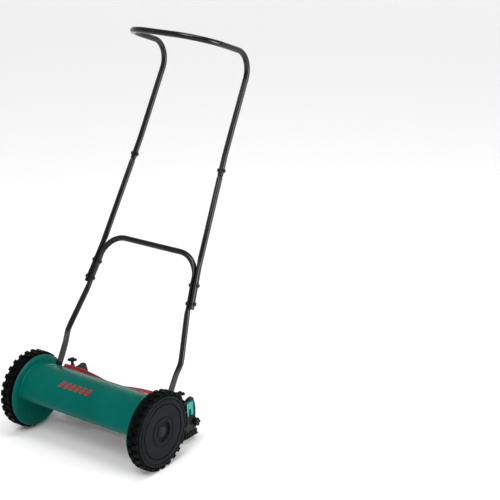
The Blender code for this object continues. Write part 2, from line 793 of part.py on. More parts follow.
def adjuster_knob(word, side):
    """Lobed knob with its moulded-in screw and collar, which presses on the carrier's tail."""
    profile = [
        (0, 0.048),
        (0.0055, 0.048),
        (0.0055, 0.0288),
        (0.0073, 0.0288),
        (0.0073, 0.0242),
        (0.0025, 0.0242),
        (0.0025, ADJUSTER_TIP_Z),
        (0, ADJUSTER_TIP_Z),
    ]
    x = side * ADJUSTER[0]
    stem = Matrix.Translation(at(x, ADJUSTER[1], 0))
    knob = turned("adjuster_knob_" + word, profile, stem, 12, BLACK_PLASTIC)
    head_at = Matrix.Translation(at(x, ADJUSTER[1], 0.0458))
    outline = lobed(0.0138, 0.0052, 4, 24)
    head = flat(f"adjuster_head_{word}", [outline], 0.0104, head_at, BLACK_PLASTIC, CUTTERS)
    join(knob, head)
    return knob


# ---------------------------------------------------------------- roller carriage


def roller_bracket(word, side):
    """Black bracket with a pointed top, slotted for the clamp bolt and grooved for the key."""
    outline = [(0.144, -0.0965), (0.199, -0.0965), (0.199, -0.082), (0.1935, -0.078), (0.1925, -0.046)]
    outline += [(0.193, -0.034), (0.193, -0.017), (0.190, -0.003), (0.1855, 0.011), (0.1805, 0.0185)]
    outline += [(0.177, 0.0200), (0.170, 0.0200), (0.158, 0.0165), (0.148, 0.0115), (0.144, 0.004)]
    outline += [(0.1425, -0.05)]
    slot_half = CLAMP_BOLT_RADIUS + 0.0005
    slot_top = arc((CLAMP_BOLT[0], CLAMP_BOLT[1] + HEIGHT_DOWN), slot_half, 0, math.pi, 6)
    slot_bottom = arc((CLAMP_BOLT[0], CLAMP_BOLT[1] - HEIGHT_UP), slot_half, math.pi, math.tau, 6)
    axle_hole = circle(ROLLER_AXIS, 0.0043, 12)
    ends = [side * x for x in BRACKET_X]
    bracket = across(
        "roller_bracket_" + word, [outline, slot_top + slot_bottom, axle_hole], *ends, BLACK_PLASTIC
    )
    low = (side * (BRACKET_X[1] - 0.0021), 0.1551, -0.0625)
    high = (side * (BRACKET_X[1] + 0.002), 0.1609, 0.03)
    cut(bracket, block(f"key_groove_{word}", low, high, STEEL, CUTTERS))
    return bracket


def roller():
    """Plastic roller behind the reel, standing on one of its flats."""
    outer = ROLLER_RADIUS / math.cos(math.pi / ROLLER_SIDES)
    bore = 0.0043
    ends = (ROLLER_HALF_LENGTH, -ROLLER_HALF_LENGTH)
    profile = [(outer, ends[0]), (outer, ends[1]), (bore, ends[1]), (bore, ends[0])]
    matrix = lateral(*ROLLER_AXIS)
    return turned("roller", profile, matrix, ROLLER_SIDES, BLACK_PLASTIC, closed=True, flat_down=True)


def clamp_plate(word, side):
    """Black pad between the lug and the clamp knob."""
    outline = [(0.147, -0.0285), (0.172, -0.0285), (0.1865, -0.0425)]
    outline += arc(CLAMP_BOLT, 0.0098, math.radians(40), math.radians(-90), 6)
    outline += [(0.130, -0.0618), (0.1245, -0.056), (0.147, -0.0435)]
    hole = circle(CLAMP_BOLT, CLAMP_BOLT_RADIUS + GAP, 12)
    ends = (side * (PLATE_WEB_X + 0.0001), side * (LUG_FACE_X - GAP))
    return across("clamp_plate_" + word, [outline, hole], *ends, BLACK_PLASTIC)


def clamp_bolt(word, side):
    """Bolt through the bracket's slot and the lug, its round head inside the bracket."""
    tip_x = 0.213
    inner_x = BRACKET_X[0] - 2 * GAP
    profile = [(0, tip_x), (CLAMP_BOLT_RADIUS, tip_x), (CLAMP_BOLT_RADIUS, inner_x), (0.007, inner_x)]
    profile += [(0.0055, 0.1866), (0, 0.1866)]
    return turned("clamp_bolt_" + word, profile, lateral(*CLAMP_BOLT, side), 12, STEEL)


def clamp_knob(word, side):
    """Lobed knob on the clamp bolt, with a boss towards the pad."""
    outline = [(CLAMP_BOLT[0] + a, CLAMP_BOLT[1] + b) for a, b in lobed(0.0125, 0.0035, 5, 25)]
    knob = across("clamp_knob_" + word, [outline], side * 0.2086, side * 0.2162, BLACK_PLASTIC)
    start = at(side * (LUG_FACE_X + 2 * GAP), *CLAMP_BOLT)
    join(knob, bar(f"knob_boss_{word}", 0.0075, start, at(side * 0.21, *CLAMP_BOLT), 12, STEEL, CUTTERS))
    bore = [at(side * x, *CLAMP_BOLT) for x in (0.2, 0.2134)]
    cut(knob, bar(f"knob_bore_{word}", CLAMP_BOLT_RADIUS + GAP, *bore, 12, STEEL, CUTTERS))
    return knob


# ---------------------------------------------------------------- handle


def lower_leg_x(s):
    """Centre of the lower frame's leg in the overlap, inside the pair of tubes."""
    return pair_x(s) - OVERLAP_OFFSET


def pair_x(s):
    """Middle of the two overlapped tubes, on the line through their two bolts."""
    slope = (UPPER_BOLT[0] - LOWER_BOLT[0]) / (UPPER_BOLT[1] - LOWER_BOLT[1])
    return LOWER_BOLT[0] + slope * (s - LOWER_BOLT[1])


def lower_frame_half(shrink):
    """Stations of one leg from the foot to the middle of the crossbar, thinner by a wall."""
    round_radius = TUBE_RADIUS - shrink
    oval = (OVAL_HALF_WIDTH - shrink, OVAL_HALF_THICKNESS - shrink, 1)
    round_section = (round_radius, round_radius, 1)
    corner_centre_x = lower_leg_x(CROSSBAR_S - CROSSBAR_CORNER) - CROSSBAR_CORNER
    corner_centre_s = CROSSBAR_S - CROSSBAR_CORNER
    tilt = math.radians(7.5)
    stations = [
        (KNEE_X, KNEE_S, *round_section),
        (KNEE_X - 0.0032, KNEE_S + 0.02, *round_section),
        (lower_leg_x(OVERLAP_START_S) + 0.0016, OVERLAP_START_S - 0.016, *round_section),
        (lower_leg_x(OVERLAP_START_S), OVERLAP_START_S, *oval),
        (lower_leg_x(OVERLAP_END_S), OVERLAP_END_S, *oval),
    ]
    corner = arc((corner_centre_x, corner_centre_s), CROSSBAR_CORNER, tilt, math.pi / 2, 5)
    easing = (round_radius, OVAL_HALF_THICKNESS + 0.001 - shrink, 1)
    stations += [(*corner[0], *oval), (*corner[1], *easing)]
    return stations + [(x, s, *round_section) for x, s in corner[2:]]


def foot_stations():
    """Flattened foot with a round end about the pivot bolt, opening out to the round tube."""
    square = 0.5
    ends = [math.radians(turn) for turn in (80, 55, 30, 0)]
    stations = []
    for turn in ends:
        width = FOOT_HALF_WIDTH * math.cos(turn)
        stations.append((FOOT_X, -FOOT_HALF_WIDTH * math.sin(turn), width, FOOT_HALF_THICKNESS, square))
    stations.append((FOOT_X, FOOT_FLAT_END_S - 0.03, FOOT_HALF_WIDTH, FOOT_HALF_THICKNESS, square))
    stations.append((FOOT_X + 0.0008, FOOT_FLAT_END_S, 0.0118, 0.0026, 0.6))
    stations.append((FOOT_X + 0.0035, FOOT_FLAT_END_S + 0.018, 0.0098, 0.0058, 0.85))
    return stations


def both_legs(half):
    """Stations of one leg, over the crossbar and down the mirrored leg, as loft sections."""
    mirrored = [(-x, s, *section) for x, s, *section in reversed(half)]
    return [(up_handle(x, s), *section) for x, s, *section in half + mirrored]


def bolt_ends(x, s, half_length, lean):
    """Ends of a cross bolt, square to tubes that lean inward as they rise."""
    across_tubes = up_handle(x, s) - up_handle(0, s)
    across_tubes.normalize()
    upward = (up_handle(0, 1) - up_handle(0, 0)).normalized()
    direction = (across_tubes + upward * lean).normalized()
    return up_handle(x, s) - direction * half_length, up_handle(x, s) + direction * half_length


def frame_hole(name, x, s, lean):
    """Cutter for a cross bolt's hole."""
    return bar(name, 0.0033, *bolt_ends(x, s, 0.016, lean), 12, STEEL, CUTTERS)


def lower_frame(holes):
    """One bent tube: two legs with flattened feet, joined by the crossbar."""
    frame = loft("lower_frame", both_legs(foot_stations() + lower_frame_half(0)), 12, BLACK_PAINT)
    core = both_legs(lower_frame_half(TUBE_RADIUS - BORE_RADIUS))
    cut(frame, loft("lower_frame_core", core, 8, STEEL, CUTTERS))
    for side in SIDES.values():
        ends = [at(side * x, *PIVOT) for x in (0.185, 0.205)]
        cut(frame, bar(f"foot_hole_{side}", 0.0053, *ends, 16, STEEL, CUTTERS))
    for hole in holes:
        cut(frame, hole)
    return frame


def middle_tube(word, side, holes):
    """Tube bolted outside the lower frame's leg, with a swaged top."""
    slope = (MID_BOLT[0] - MIDDLE_BEND[0]) / (MID_BOLT[1] - MIDDLE_BEND[1])

    def straight_x(s):
        return MID_BOLT[0] + slope * (s - MID_BOLT[1])

    def stations(shrink, below, above):
        oval = (OVAL_HALF_WIDTH - shrink, OVAL_HALF_THICKNESS - shrink, 1)
        full = (TUBE_RADIUS - shrink, TUBE_RADIUS - shrink, 1)
        swaged = (SLEEVE_RADIUS - shrink, SLEEVE_RADIUS - shrink, 1)
        low_s = OVERLAP_START_S - below
        oval_end = OVERLAP_END_S + 0.036
        return [
            (pair_x(low_s) + OVERLAP_OFFSET, low_s, *oval),
            (pair_x(oval_end) + OVERLAP_OFFSET, oval_end, *oval),
            (straight_x(MIDDLE_BEND[1]), MIDDLE_BEND[1], *full),
            (straight_x(SLEEVE_START_S - 0.006), SLEEVE_START_S - 0.006, *full),
            (straight_x(SLEEVE_START_S - 0.0005), SLEEVE_START_S - 0.0005, *swaged),
            (straight_x(SLEEVE_TOP_S + above), SLEEVE_TOP_S + above, *swaged),
        ]

    def sections(listed):
        return [(up_handle(side * x, s), *section) for x, s, *section in listed]

    wall = TUBE_RADIUS - BORE_RADIUS
    tube = loft("middle_tube_" + word, sections(stations(0, 0, 0)), 12, BLACK_PAINT)
    core = sections(stations(wall, 0.01, 0.01))
    cut(tube, loft(f"middle_core_{word}", core, 8, STEEL, CUTTERS))
    for hole in holes:
        cut(tube, hole)
    return tube


def upper_handle_path(extra):
    """Centre line from one leg's lower end, over the top and down to the other's."""
    slope = (MID_BOLT[0] - MIDDLE_BEND[0]) / (MID_BOLT[1] - MIDDLE_BEND[1])
    bend_s = 0.69
    half = [(MID_BOLT[0] + slope * (s - MID_BOLT[1]), s) for s in (SLEEVE_START_S - extra, bend_s)]
    points = [up_handle(x, s) for x, s in half]
    fold_z = PIVOT[1] + FOLD_S * math.sin(LEAN) + FOLD_RADIUS * math.cos(LEAN)
    start = LEAN - math.pi / 2
    end = start + FOLD_ANGLE
    fold = arc((FOLD_Y, fold_z), FOLD_RADIUS, start, 0, 2) + arc((FOLD_Y, fold_z), FOLD_RADIUS, 0, end, 5)[1:]
    points += [at(FOLD_X, y, z) for y, z in fold]
    forward = Vector((0, math.cos(LEAN + FOLD_ANGLE), math.sin(LEAN + FOLD_ANGLE)))
    corner = at(FOLD_X, *fold[-1]) + forward * (TOP_REACH - TOP_CORNER)
    for across_x, reach in arc((0, 0), TOP_CORNER, 0, math.pi / 2, 6):
        points.append(corner + forward * reach + Vector((across_x - TOP_CORNER, 0, 0)))
    return points + [Vector((-p.x, p.y, p.z)) for p in reversed(points)]


def upper_handle(holes):
    """One bent tube: two legs, folded forward at the top and joined by the grip bar."""
    handle = tube_curve("upper_handle", upper_handle_path(0), TUBE_RADIUS, 4, BLACK_PAINT)
    core = tube_curve("upper_handle_core", upper_handle_path(0.01), BORE_RADIUS, 2, STEEL, CUTTERS)
    cut(handle, core)
    for hole in holes:
        cut(handle, hole)
    return handle


def handle():
    """The three tubes of the handle and the bolts that hold them together."""
    overlap_lean = 0.131
    mid_lean = 0.066
    lower_holes = []
    mid_holes = []
    pieces = []
    for word, side in SIDES.items():
        pair = []
        for level, (x, s) in {"lower": LOWER_BOLT, "upper": UPPER_BOLT}.items():
            pair.append(frame_hole(f"{level}_hole_{word}", side * x, s, overlap_lean))
            half = 2 * OVAL_HALF_THICKNESS + 2 * GAP
            ends = bolt_ends(side * x, s, half, overlap_lean)
            pieces.append(fastener(f"frame_bolt_{level}_{word}", *ends, 0.003, 0.006, 0.0035))
        x, s = MID_BOLT
        mid_hole = frame_hole(f"mid_hole_{word}", side * x, s, mid_lean)
        ends = bolt_ends(side * x, s, TUBE_RADIUS + GAP, mid_lean)
        pieces.append(fastener(f"mid_bolt_{word}", *ends, 0.003, 0.0055, 0.003))
        pieces.append(middle_tube(word, side, pair + [mid_hole]))
        lower_holes += pair
        mid_holes.append(mid_hole)
    pieces.append(lower_frame(lower_holes))
    pieces.append(upper_handle(mid_holes))
    return pieces


def pivot_bolt(word, side):
    """Shoulder bolt through the foot and the plate, with its nut."""
    start = at(side * (FOOT_X - FOOT_HALF_THICKNESS - GAP), *PIVOT)
    end = at(side * (PLATE_WEB_X + GAP), *PIVOT)
    return fastener("pivot_bolt_" + word, start, end, 0.005, 0.0085, 0.0024)


# ---------------------------------------------------------------- assembly


def build_side(word, side):
    """Everything that comes in a left and a right, with the empties on their joints' axes."""
    side_plate(word, side)
    axle_stub(word, side)
    axle_clip(word, side)
    reel_bush(word, side)
    pivot_bolt(word, side)
    clamp_plate(word, side)
    clamp_bolt(word, side)
    rolling = [wheel(word, side), tyre(word, side), ring_gear(word, side), hub_cap(word, side)]
    axis_at(f"wheel_axis_{word}", at(0, 0, 0), rolling)
    axis_at(f"adjuster_axis_{word}", at(side * ADJUSTER[0], ADJUSTER[1], 0), [adjuster_knob(word, side)])
    axis_at(f"clamp_axis_{word}", at(0, *CLAMP_BOLT), [clamp_knob(word, side)])


def build():
    for word, side in SIDES.items():
        build_side(word, side)
    front_cover()
    cross_rod()

    reel = [reel_shaft(), pinion("left", 1), drive_key("left", 1, 0.0015), drive_key("right", -1, 0)]
    reel += [reel_spider(number, x) for number, x in enumerate(SPIDER_X)]
    reel += [reel_blade(number) for number in range(BLADES)]
    axis_at("reel_axis", at(0, REEL_Y, 0), reel)
    axis_at("free_pinion_axis", at(0, REEL_Y, 0), [pinion("right", -1)])

    knife = [bedknife_carrier(), bedknife()]
    knife += [bedknife_bolt(word, side) for word, side in SIDES.items()]
    axis_at("bedknife_axis", at(0, *CROSS_ROD), knife)

    axle_half = BRACKET_X[1] - 2 * GAP
    ends = [at(x, *ROLLER_AXIS) for x in (-axle_half, axle_half)]
    carriage = [bar("roller_axle", 0.004, *ends, 12)]
    carriage += [roller_bracket(word, side) for word, side in SIDES.items()]
    axis_at("carriage_slide", at(0, *ROLLER_AXIS), carriage)
    axis_at("roller_axis", at(0, *ROLLER_AXIS), [roller()])

    axis_at("handle_axis", at(0, *PIVOT), handle())


build()
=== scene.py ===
"""Reel mower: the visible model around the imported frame, with its light and camera.

Units are metres. Helpers take y and z from the wheel axle, as in the CAD, and outlines are
lists of (y, z) in the plane of a wheel. Left is +X, +Y is to the rear, +Z is up.
"""

import json
import math

import bmesh
import bpy
from mathutils import Matrix, Vector

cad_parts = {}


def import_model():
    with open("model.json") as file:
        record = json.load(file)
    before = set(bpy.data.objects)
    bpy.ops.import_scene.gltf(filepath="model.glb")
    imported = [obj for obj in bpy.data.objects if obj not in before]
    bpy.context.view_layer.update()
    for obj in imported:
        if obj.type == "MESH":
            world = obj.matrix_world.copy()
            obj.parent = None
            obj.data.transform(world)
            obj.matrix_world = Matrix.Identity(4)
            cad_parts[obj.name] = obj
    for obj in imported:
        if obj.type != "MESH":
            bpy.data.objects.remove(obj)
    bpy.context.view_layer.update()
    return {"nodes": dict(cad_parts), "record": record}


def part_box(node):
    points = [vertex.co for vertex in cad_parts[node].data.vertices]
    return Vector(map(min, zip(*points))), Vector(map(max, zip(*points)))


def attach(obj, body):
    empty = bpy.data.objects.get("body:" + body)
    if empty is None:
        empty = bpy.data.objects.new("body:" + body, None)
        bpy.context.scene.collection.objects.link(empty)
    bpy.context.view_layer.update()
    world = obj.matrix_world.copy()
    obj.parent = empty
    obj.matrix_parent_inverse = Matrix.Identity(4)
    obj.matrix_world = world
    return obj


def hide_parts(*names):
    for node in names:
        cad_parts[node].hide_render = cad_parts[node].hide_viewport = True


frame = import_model()

SIDES = {"left": 1, "right": -1}
WHEEL_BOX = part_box("wheel_left")
AXLE_Y = (WHEEL_BOX[0].y + WHEEL_BOX[1].y) / 2
AXLE_Z = (WHEEL_BOX[0].z + WHEEL_BOX[1].z) / 2
WHEEL_FACE_X = WHEEL_BOX[1].x

# Across the mower: the side plate's two faces, its raised lug face, and a fitted clearance.
PLATE_INNER_X = 0.1976
PLATE_WEB_X = 0.2016
LUG_FACE_X = 0.2055
GAP = 0.0003

# Bolts of the handle are (x, distance up the handle from its pivots); the pivot is (y, z).
LEAN = math.radians(61.5)
PIVOT = (0.072, 0.0333)
LOWER_BOLT = (0.1781, 0.276)
UPPER_BOLT = (0.1716, 0.3257)
MID_BOLT = (0.1516, 0.6432)
MIDDLE_BEND = (0.168, 0.395)
TUBE_RADIUS = 0.008
TUBE_WALL = 0.0014
OVAL_WIDTH = 0.009
OVAL_THICKNESS = 0.0055
OVERLAP_OFFSET = OVAL_THICKNESS + GAP / 2
OVERLAP_START = 0.262
FOOT_X = 0.19555
FOOT_HALF_WIDTH = 0.0125
FOOT_HALF_THICKNESS = 0.00175

# Cross axes as (y, z). The adjuster's axis is upright, and given as (x, y).
CROSS_ROD = (0.112, -0.045)
ADJUSTER = (0.1935, 0.1315)
CLAMP_BOLT = (0.180, -0.052)
ROLLER_AXIS = (0.172, -0.0875)
REEL_Y = 0.056
REEL_RADIUS = 0.063
REEL_HALF_LENGTH = 0.19


# ------------ materials


# Sizes of the noise patterns, as features in about a metre.
DRIFT_SCALE = 9
DUST_SCALE = 38
GLOSS_SCALE = 55
WEAR_SCALE = 120
DUST_COLOUR = (0.16, 0.15, 0.13)


def link(tree, source, target):
    tree.links.new(source, target)


def noise(tree, coords, scale, detail, roughness=0.5, stretch=(1, 1, 1)):
    """Fractal noise in the object's own coordinates."""
    mapping = tree.nodes.new("ShaderNodeMapping")
    mapping.inputs["Scale"].default_value = stretch
    link(tree, coords, mapping.inputs["Vector"])
    node = tree.nodes.new("ShaderNodeTexNoise")
    node.inputs["Scale"].default_value = scale
    node.inputs["Detail"].default_value = detail
    node.inputs["Roughness"].default_value = roughness
    link(tree, mapping.outputs["Vector"], node.inputs["Vector"])
    return node.outputs["Fac"]


def spread(tree, value, low, high, to_low, to_high):
    """A value mapped from one range to another, and held inside it."""
    node = tree.nodes.new("ShaderNodeMapRange")
    node.inputs["From Min"].default_value = low
    node.inputs["From Max"].default_value = high
    node.inputs["To Min"].default_value = to_low
    node.inputs["To Max"].default_value = to_high
    link(tree, value, node.inputs["Value"])
    return node.outputs["Result"]


def mixed(tree, factor, first, second):
    """Two colours mixed by a factor; the first may be another node's colour."""
    node = tree.nodes.new("ShaderNodeMix")
    node.data_type = "RGBA"
    link(tree, factor, node.inputs["Factor"])
    if isinstance(first, tuple):
        node.inputs["A"].default_value = (*first, 1)
    else:
        link(tree, first, node.inputs["A"])
    node.inputs["B"].default_value = (*second, 1)
    return node.outputs["Result"]


def surface(
    name, colour, shade, roughness, grain, metallic=0.0, stretch=(1, 1, 1), worn=None, wear=0.0,
    dust=0.0, specular=0.5,
):
    """Principled material with colour drift, patchy gloss, a fine grain and worn edges.

    Grain is (scale, strength, height), and roughness is its (lowest, highest) value. Shade is
    the colour that the base drifts to. Wear and dust say how much of each shows at most.
    """
    material = bpy.data.materials.new(name)
    material.use_nodes = True
    tree = material.node_tree
    shader = tree.nodes["Principled BSDF"]
    shader.inputs["Metallic"].default_value = metallic
    shader.inputs["Specular IOR Level"].default_value = specular
    coords = tree.nodes.new("ShaderNodeTexCoord").outputs["Object"]
    drift = spread(tree, noise(tree, coords, DRIFT_SCALE, 4), 0.35, 0.68, 0, 1)
    base = mixed(tree, drift, colour, shade)
    if dust:
        powder = spread(tree, noise(tree, coords, DUST_SCALE, 6, 0.65), 0.5, 0.8, 0, dust)
        base = mixed(tree, powder, base, DUST_COLOUR)
    if worn:
        pointed = tree.nodes.new("ShaderNodeNewGeometry").outputs["Pointiness"]
        edge = spread(tree, pointed, 0.53, 0.62, 0, 1)
        patch = spread(tree, noise(tree, coords, WEAR_SCALE, 5, 0.6), 0.42, 0.62, 0, wear)
        both = tree.nodes.new("ShaderNodeMath")
        both.operation = "MULTIPLY"
        link(tree, edge, both.inputs[0])
        link(tree, patch, both.inputs[1])
        base = mixed(tree, both.outputs["Value"], base, worn)
    link(tree, base, shader.inputs["Base Color"])
    gloss = noise(tree, coords, GLOSS_SCALE, 5, 0.6, stretch)
    link(tree, spread(tree, gloss, 0.3, 0.75, *roughness), shader.inputs["Roughness"])
    scale, strength, height = grain
    bump = tree.nodes.new("ShaderNodeBump")
    bump.inputs["Strength"].default_value = strength
    bump.inputs["Distance"].default_value = height
    link(tree, noise(tree, coords, scale, 4, 0.55, stretch), bump.inputs["Height"])
    link(tree, bump.outputs["Normal"], shader.inputs["Normal"])
    return material


# The material of each of the record's slots, then those of single pieces.
MATERIALS = {
    "teal_plastic": surface(
        "teal_plastic", (0.0003, 0.106, 0.085), (0.0001, 0.088, 0.070), (0.18, 0.30),
        grain=(260, 0.08, 0.0002), worn=(0.02, 0.24, 0.22), wear=0.45, specular=0.055,
    ),
    "black_paint": surface(
        "black_paint", (0.0008, 0.0010, 0.0010), (0.0016, 0.0020, 0.0020), (0.10, 0.19),
        grain=(220, 0.08, 0.0002), worn=(0.03, 0.03, 0.03), wear=0.5, specular=0.38,
    ),
    "black_plastic": surface(
        "black_plastic", (0.0030, 0.0036, 0.0036), (0.0055, 0.0062, 0.0062), (0.32, 0.50),
        grain=(700, 0.25, 0.0002), worn=(0.03, 0.033, 0.033), wear=0.4, specular=0.16,
    ),
    "wheel_plastic": surface(
        "wheel_plastic", (0.0072, 0.0098, 0.0115), (0.0056, 0.0078, 0.0092), (0.34, 0.52),
        grain=(900, 0.25, 0.0002), worn=(0.05, 0.06, 0.065), wear=0.6, dust=0.008, specular=0.045,
    ),
    "tyre_rubber": surface(
        "tyre_rubber", (0.0014, 0.0020, 0.0022), (0.0024, 0.0031, 0.0033), (0.42, 0.64),
        grain=(520, 0.45, 0.0003), worn=(0.022, 0.026, 0.028), wear=0.7, dust=0.009, specular=0.035,
    ),
    "red_paint": surface(
        "red_paint", (0.34, 0.012, 0.022), (0.26, 0.010, 0.018), (0.26, 0.42),
        grain=(240, 0.15, 0.0003), worn=(0.30, 0.27, 0.26), wear=0.55,
    ),
    "steel": surface(
        "steel", (0.30, 0.30, 0.31), (0.20, 0.20, 0.215), (0.30, 0.54), metallic=1.0,
        grain=(500, 0.2, 0.0001), stretch=(1, 8, 8), dust=0.15,
    ),
    "bronze": surface(
        "bronze", (0.50, 0.33, 0.16), (0.36, 0.22, 0.10), (0.32, 0.52), metallic=1.0,
        grain=(800, 0.3, 0.0002), dust=0.1,
    ),
}
DARK_STEEL = surface(
    "dark_steel", (0.006, 0.006, 0.0065), (0.010, 0.010, 0.011), (0.22, 0.42), metallic=0.3,
    grain=(500, 0.2, 0.0001), worn=(0.10, 0.10, 0.10), wear=0.5, specular=0.3,
)
# Lighter teal for the raised face of the side plate's lug: a painted highlight standing in for the light
# that catches that face.
LUG_PAINTED_HIGHLIGHT = surface(
    "teal_plastic_lug_painted_highlight", (0.030, 0.330, 0.300), (0.018, 0.240, 0.215), (0.20, 0.32),
    grain=(260, 0.08, 0.0002), worn=(0.10, 0.42, 0.39), wear=0.5, specular=0.2,
)
MARK_RED = surface(
    "mark_red", (0.36, 0.018, 0.012), (0.29, 0.014, 0.012), (0.3, 0.45),
    grain=(400, 0.1, 0.0002), specular=0.3,
)


def dress_cad_nodes():
    """Give each CAD node the material of its slot."""
    for row in frame["record"]["subparts"]:
        node = frame["nodes"][row["node"]]
        node.data.materials.clear()
        node.data.materials.append(MATERIALS[row["material_slot"]])


# ------------ shapes


def at(x, y, z):
    """World point from x and the offsets from the wheel axle."""
    return Vector((x, AXLE_Y + y, AXLE_Z + z))


def up_handle(x, s):
    """World point in the handle's plane, s up from the pivot bolts."""
    return at(x, PIVOT[0] + s * math.cos(LEAN), PIVOT[1] + s * math.sin(LEAN))


def arc(centre, radius, start, end, steps):
    """Points on an arc, both ends included."""
    angles = [start + (end - start) * i / steps for i in range(steps + 1)]
    return [(centre[0] + radius * math.cos(t), centre[1] + radius * math.sin(t)) for t in angles]


def turns(sides):
    """Angles evenly round a circle."""
    return [math.tau * k / sides for k in range(sides)]


def circle(centre, radius, sides=32):
    """Points round a circle."""
    return arc(centre, radius, 0, math.tau, sides)[:-1]


def smoothstep(value):
    """Smooth rise from 0 to 1, level at both ends."""
    value = min(1.0, max(0.0, value))
    return value * value * (3 - 2 * value)


def new_object(name, data):
    """New object in the scene's own collection."""
    made = bpy.data.objects.new(name, data)
    bpy.context.scene.collection.objects.link(made)
    return made


def place(name, mesh, slot, body, replaced, material=None, bevel=0.0, segments=2, angle=35):
    """Put a mesh in the scene, riding on its body and standing for the CAD nodes.

    It gets its slot's material unless another is given. Bevel rounds edges sharper than angle.
    """
    mesh.materials.append(material or MATERIALS[slot])
    mesh.shade_smooth()
    mesh.set_sharp_from_angle(angle=math.radians(30))
    piece = new_object(name, mesh)
    if bevel:
        modifier = piece.modifiers.new("edges", "BEVEL")
        modifier.width = bevel
        modifier.segments = segments
        modifier.limit_method = "ANGLE"
        modifier.angle_limit = math.radians(angle)
        modifier.harden_normals = True
    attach(piece, body)
    if replaced:
        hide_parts(*replaced)
    return piece


def finished(shape, name):
    """Mesh of a closed shape, with its faces turned outwards."""
    bmesh.ops.recalc_face_normals(shape, faces=shape.faces)
    mesh = bpy.data.meshes.new(name)
    shape.to_mesh(mesh)
    shape.free()
    return mesh


def skin(rings, loop=False, caps=True):
    """Closed mesh through rings of points; a ring of one point closes to a tip."""
    shape = bmesh.new()
    made = [[shape.verts.new(point) for point in ring] for ring in rings]
    pairs = list(zip(made, made[1:]))
    if loop:
        pairs.append((made[-1], made[0]))
    for first, second in pairs:
        count = max(len(first), len(second))
        for k in range(count):
            after = (k + 1) % count
            corners = []
            for ring, order in ((first, (k, after)), (second, (after, k))):
                corners += [ring[0]] if len(ring) == 1 else [ring[i] for i in order]
            shape.faces.new(corners)
    if caps and not loop:
        for ring in (made[0], made[-1]):
            if len(ring) > 2:
                shape.faces.new(ring)
    return finished(shape, "piece")


def cylinder(radius, start, end):
    """Profile of a plain round cutter."""
    return [(0, start), (radius, start), (radius, end), (0, end)]


def lathe(profile, side, centre=(0, 0), sides=96, loop=False):
    """Body turned about a cross axis from (radius, x) pairs; radius 0 is a tip."""
    rings = []
    for radius, x in profile:
        if radius:
            rings.append([at(side * x, y, z) for y, z in circle(centre, radius, sides)])
        else:
            rings.append([at(side * x, *centre)])
    return skin(rings, loop)


def level_ring(x, y, z, outline):
    """Level ring of an outline given from (x, y)."""
    return [at(x + a, y + b, z) for a, b in outline]


def upright_lathe(profile, x, y, sides=48):
    """Body turned about a vertical axis from (radius, z) pairs; radius 0 is a tip."""
    rings = []
    for radius, z in profile:
        if radius:
            rings.append(level_ring(x, y, z, circle((0, 0), radius, sides)))
        else:
            rings.append([at(x, y, z)])
    return skin(rings)


def prism(outlines, x_from, x_to):
    """Flat piece in the plane of a wheel from closed outlines, the later ones being holes."""
    curve = bpy.data.curves.new("outline", "CURVE")
    curve.dimensions = "2D"
    curve.fill_mode = "BOTH"
    curve.extrude = abs(x_to - x_from) / 2
    for outline in outlines:
        spline = curve.splines.new("POLY")
        spline.points.add(len(outline) - 1)
        for point, (y, z) in zip(spline.points, outline):
            point.co = (y, z, 0, 1)
        spline.use_cyclic_u = True
    guide = new_object("guide", curve)
    evaluated = guide.evaluated_get(bpy.context.evaluated_depsgraph_get())
    mesh = bpy.data.meshes.new_from_object(evaluated)
    bpy.data.objects.remove(guide)
    upright = Matrix(((0, 0, 1), (1, 0, 0), (0, 1, 0))).to_4x4()
    mesh.transform(Matrix.Translation(at((x_from + x_to) / 2, 0, 0)) @ upright)
    shape = bmesh.new()
    shape.from_mesh(mesh)
    bmesh.ops.remove_doubles(shape, verts=shape.verts, dist=1e-6)
    bmesh.ops.recalc_face_normals(shape, faces=shape.faces)
    shape.to_mesh(mesh)
    shape.free()
    return mesh


def combined(first, others, operation="UNION"):
    """One mesh from several, by exact Booleans."""
    body = new_object("body", first)
    tools = []
    for other in others:
        tool = new_object("tool", other)
        tools.append(tool)
        modifier = body.modifiers.new("step", "BOOLEAN")
        modifier.operation = operation
        modifier.object = tool
        modifier.solver = "EXACT"
    evaluated = body.evaluated_get(bpy.context.evaluated_depsgraph_get())
    mesh = bpy.data.meshes.new_from_object(evaluated)
    for item in [body, *tools]:
        bpy.data.objects.remove(item)
    return mesh


def box_mesh(low, high):
    """A box between two corners given from the wheel axle."""
    shape = bmesh.new()
    bmesh.ops.create_cube(shape, size=1)
    size = Vector(high) - Vector(low)
    bmesh.ops.scale(shape, vec=[abs(side) for side in size], verts=shape.verts)
    bmesh.ops.translate(shape, vec=at(*((Vector(high) + Vector(low)) / 2)), verts=shape.verts)
    return finished(shape, "box")


def lobed(radius, depth, lobes, points, first=0.0):
    """A round outline with rounded lobes, the first at the given angle, as on a hand knob."""
    outline = []
    for t in turns(points):
        r = radius - depth / 2 + depth / 2 * math.cos(lobes * (t - first))
        outline.append((r * math.cos(t), r * math.sin(t)))
    return outline


# ------------ wheels

LUGS = 28
TREAD_MIDDLE_X = 0.2242
TREAD_HALF_WIDTH = 0.0156
LUG_SLANT = 0.22

# Stations round one lug's share of the tyre, and which of them are raised in each row.
TREAD_STEPS = (0.0, 0.04, 0.06, 0.10, 0.50, 0.54, 0.56, 0.60)
OUTER_LUG = (1, 2, 3, 4, 5, 6)
INNER_LUG = (5, 6, 7, 0, 1, 2)

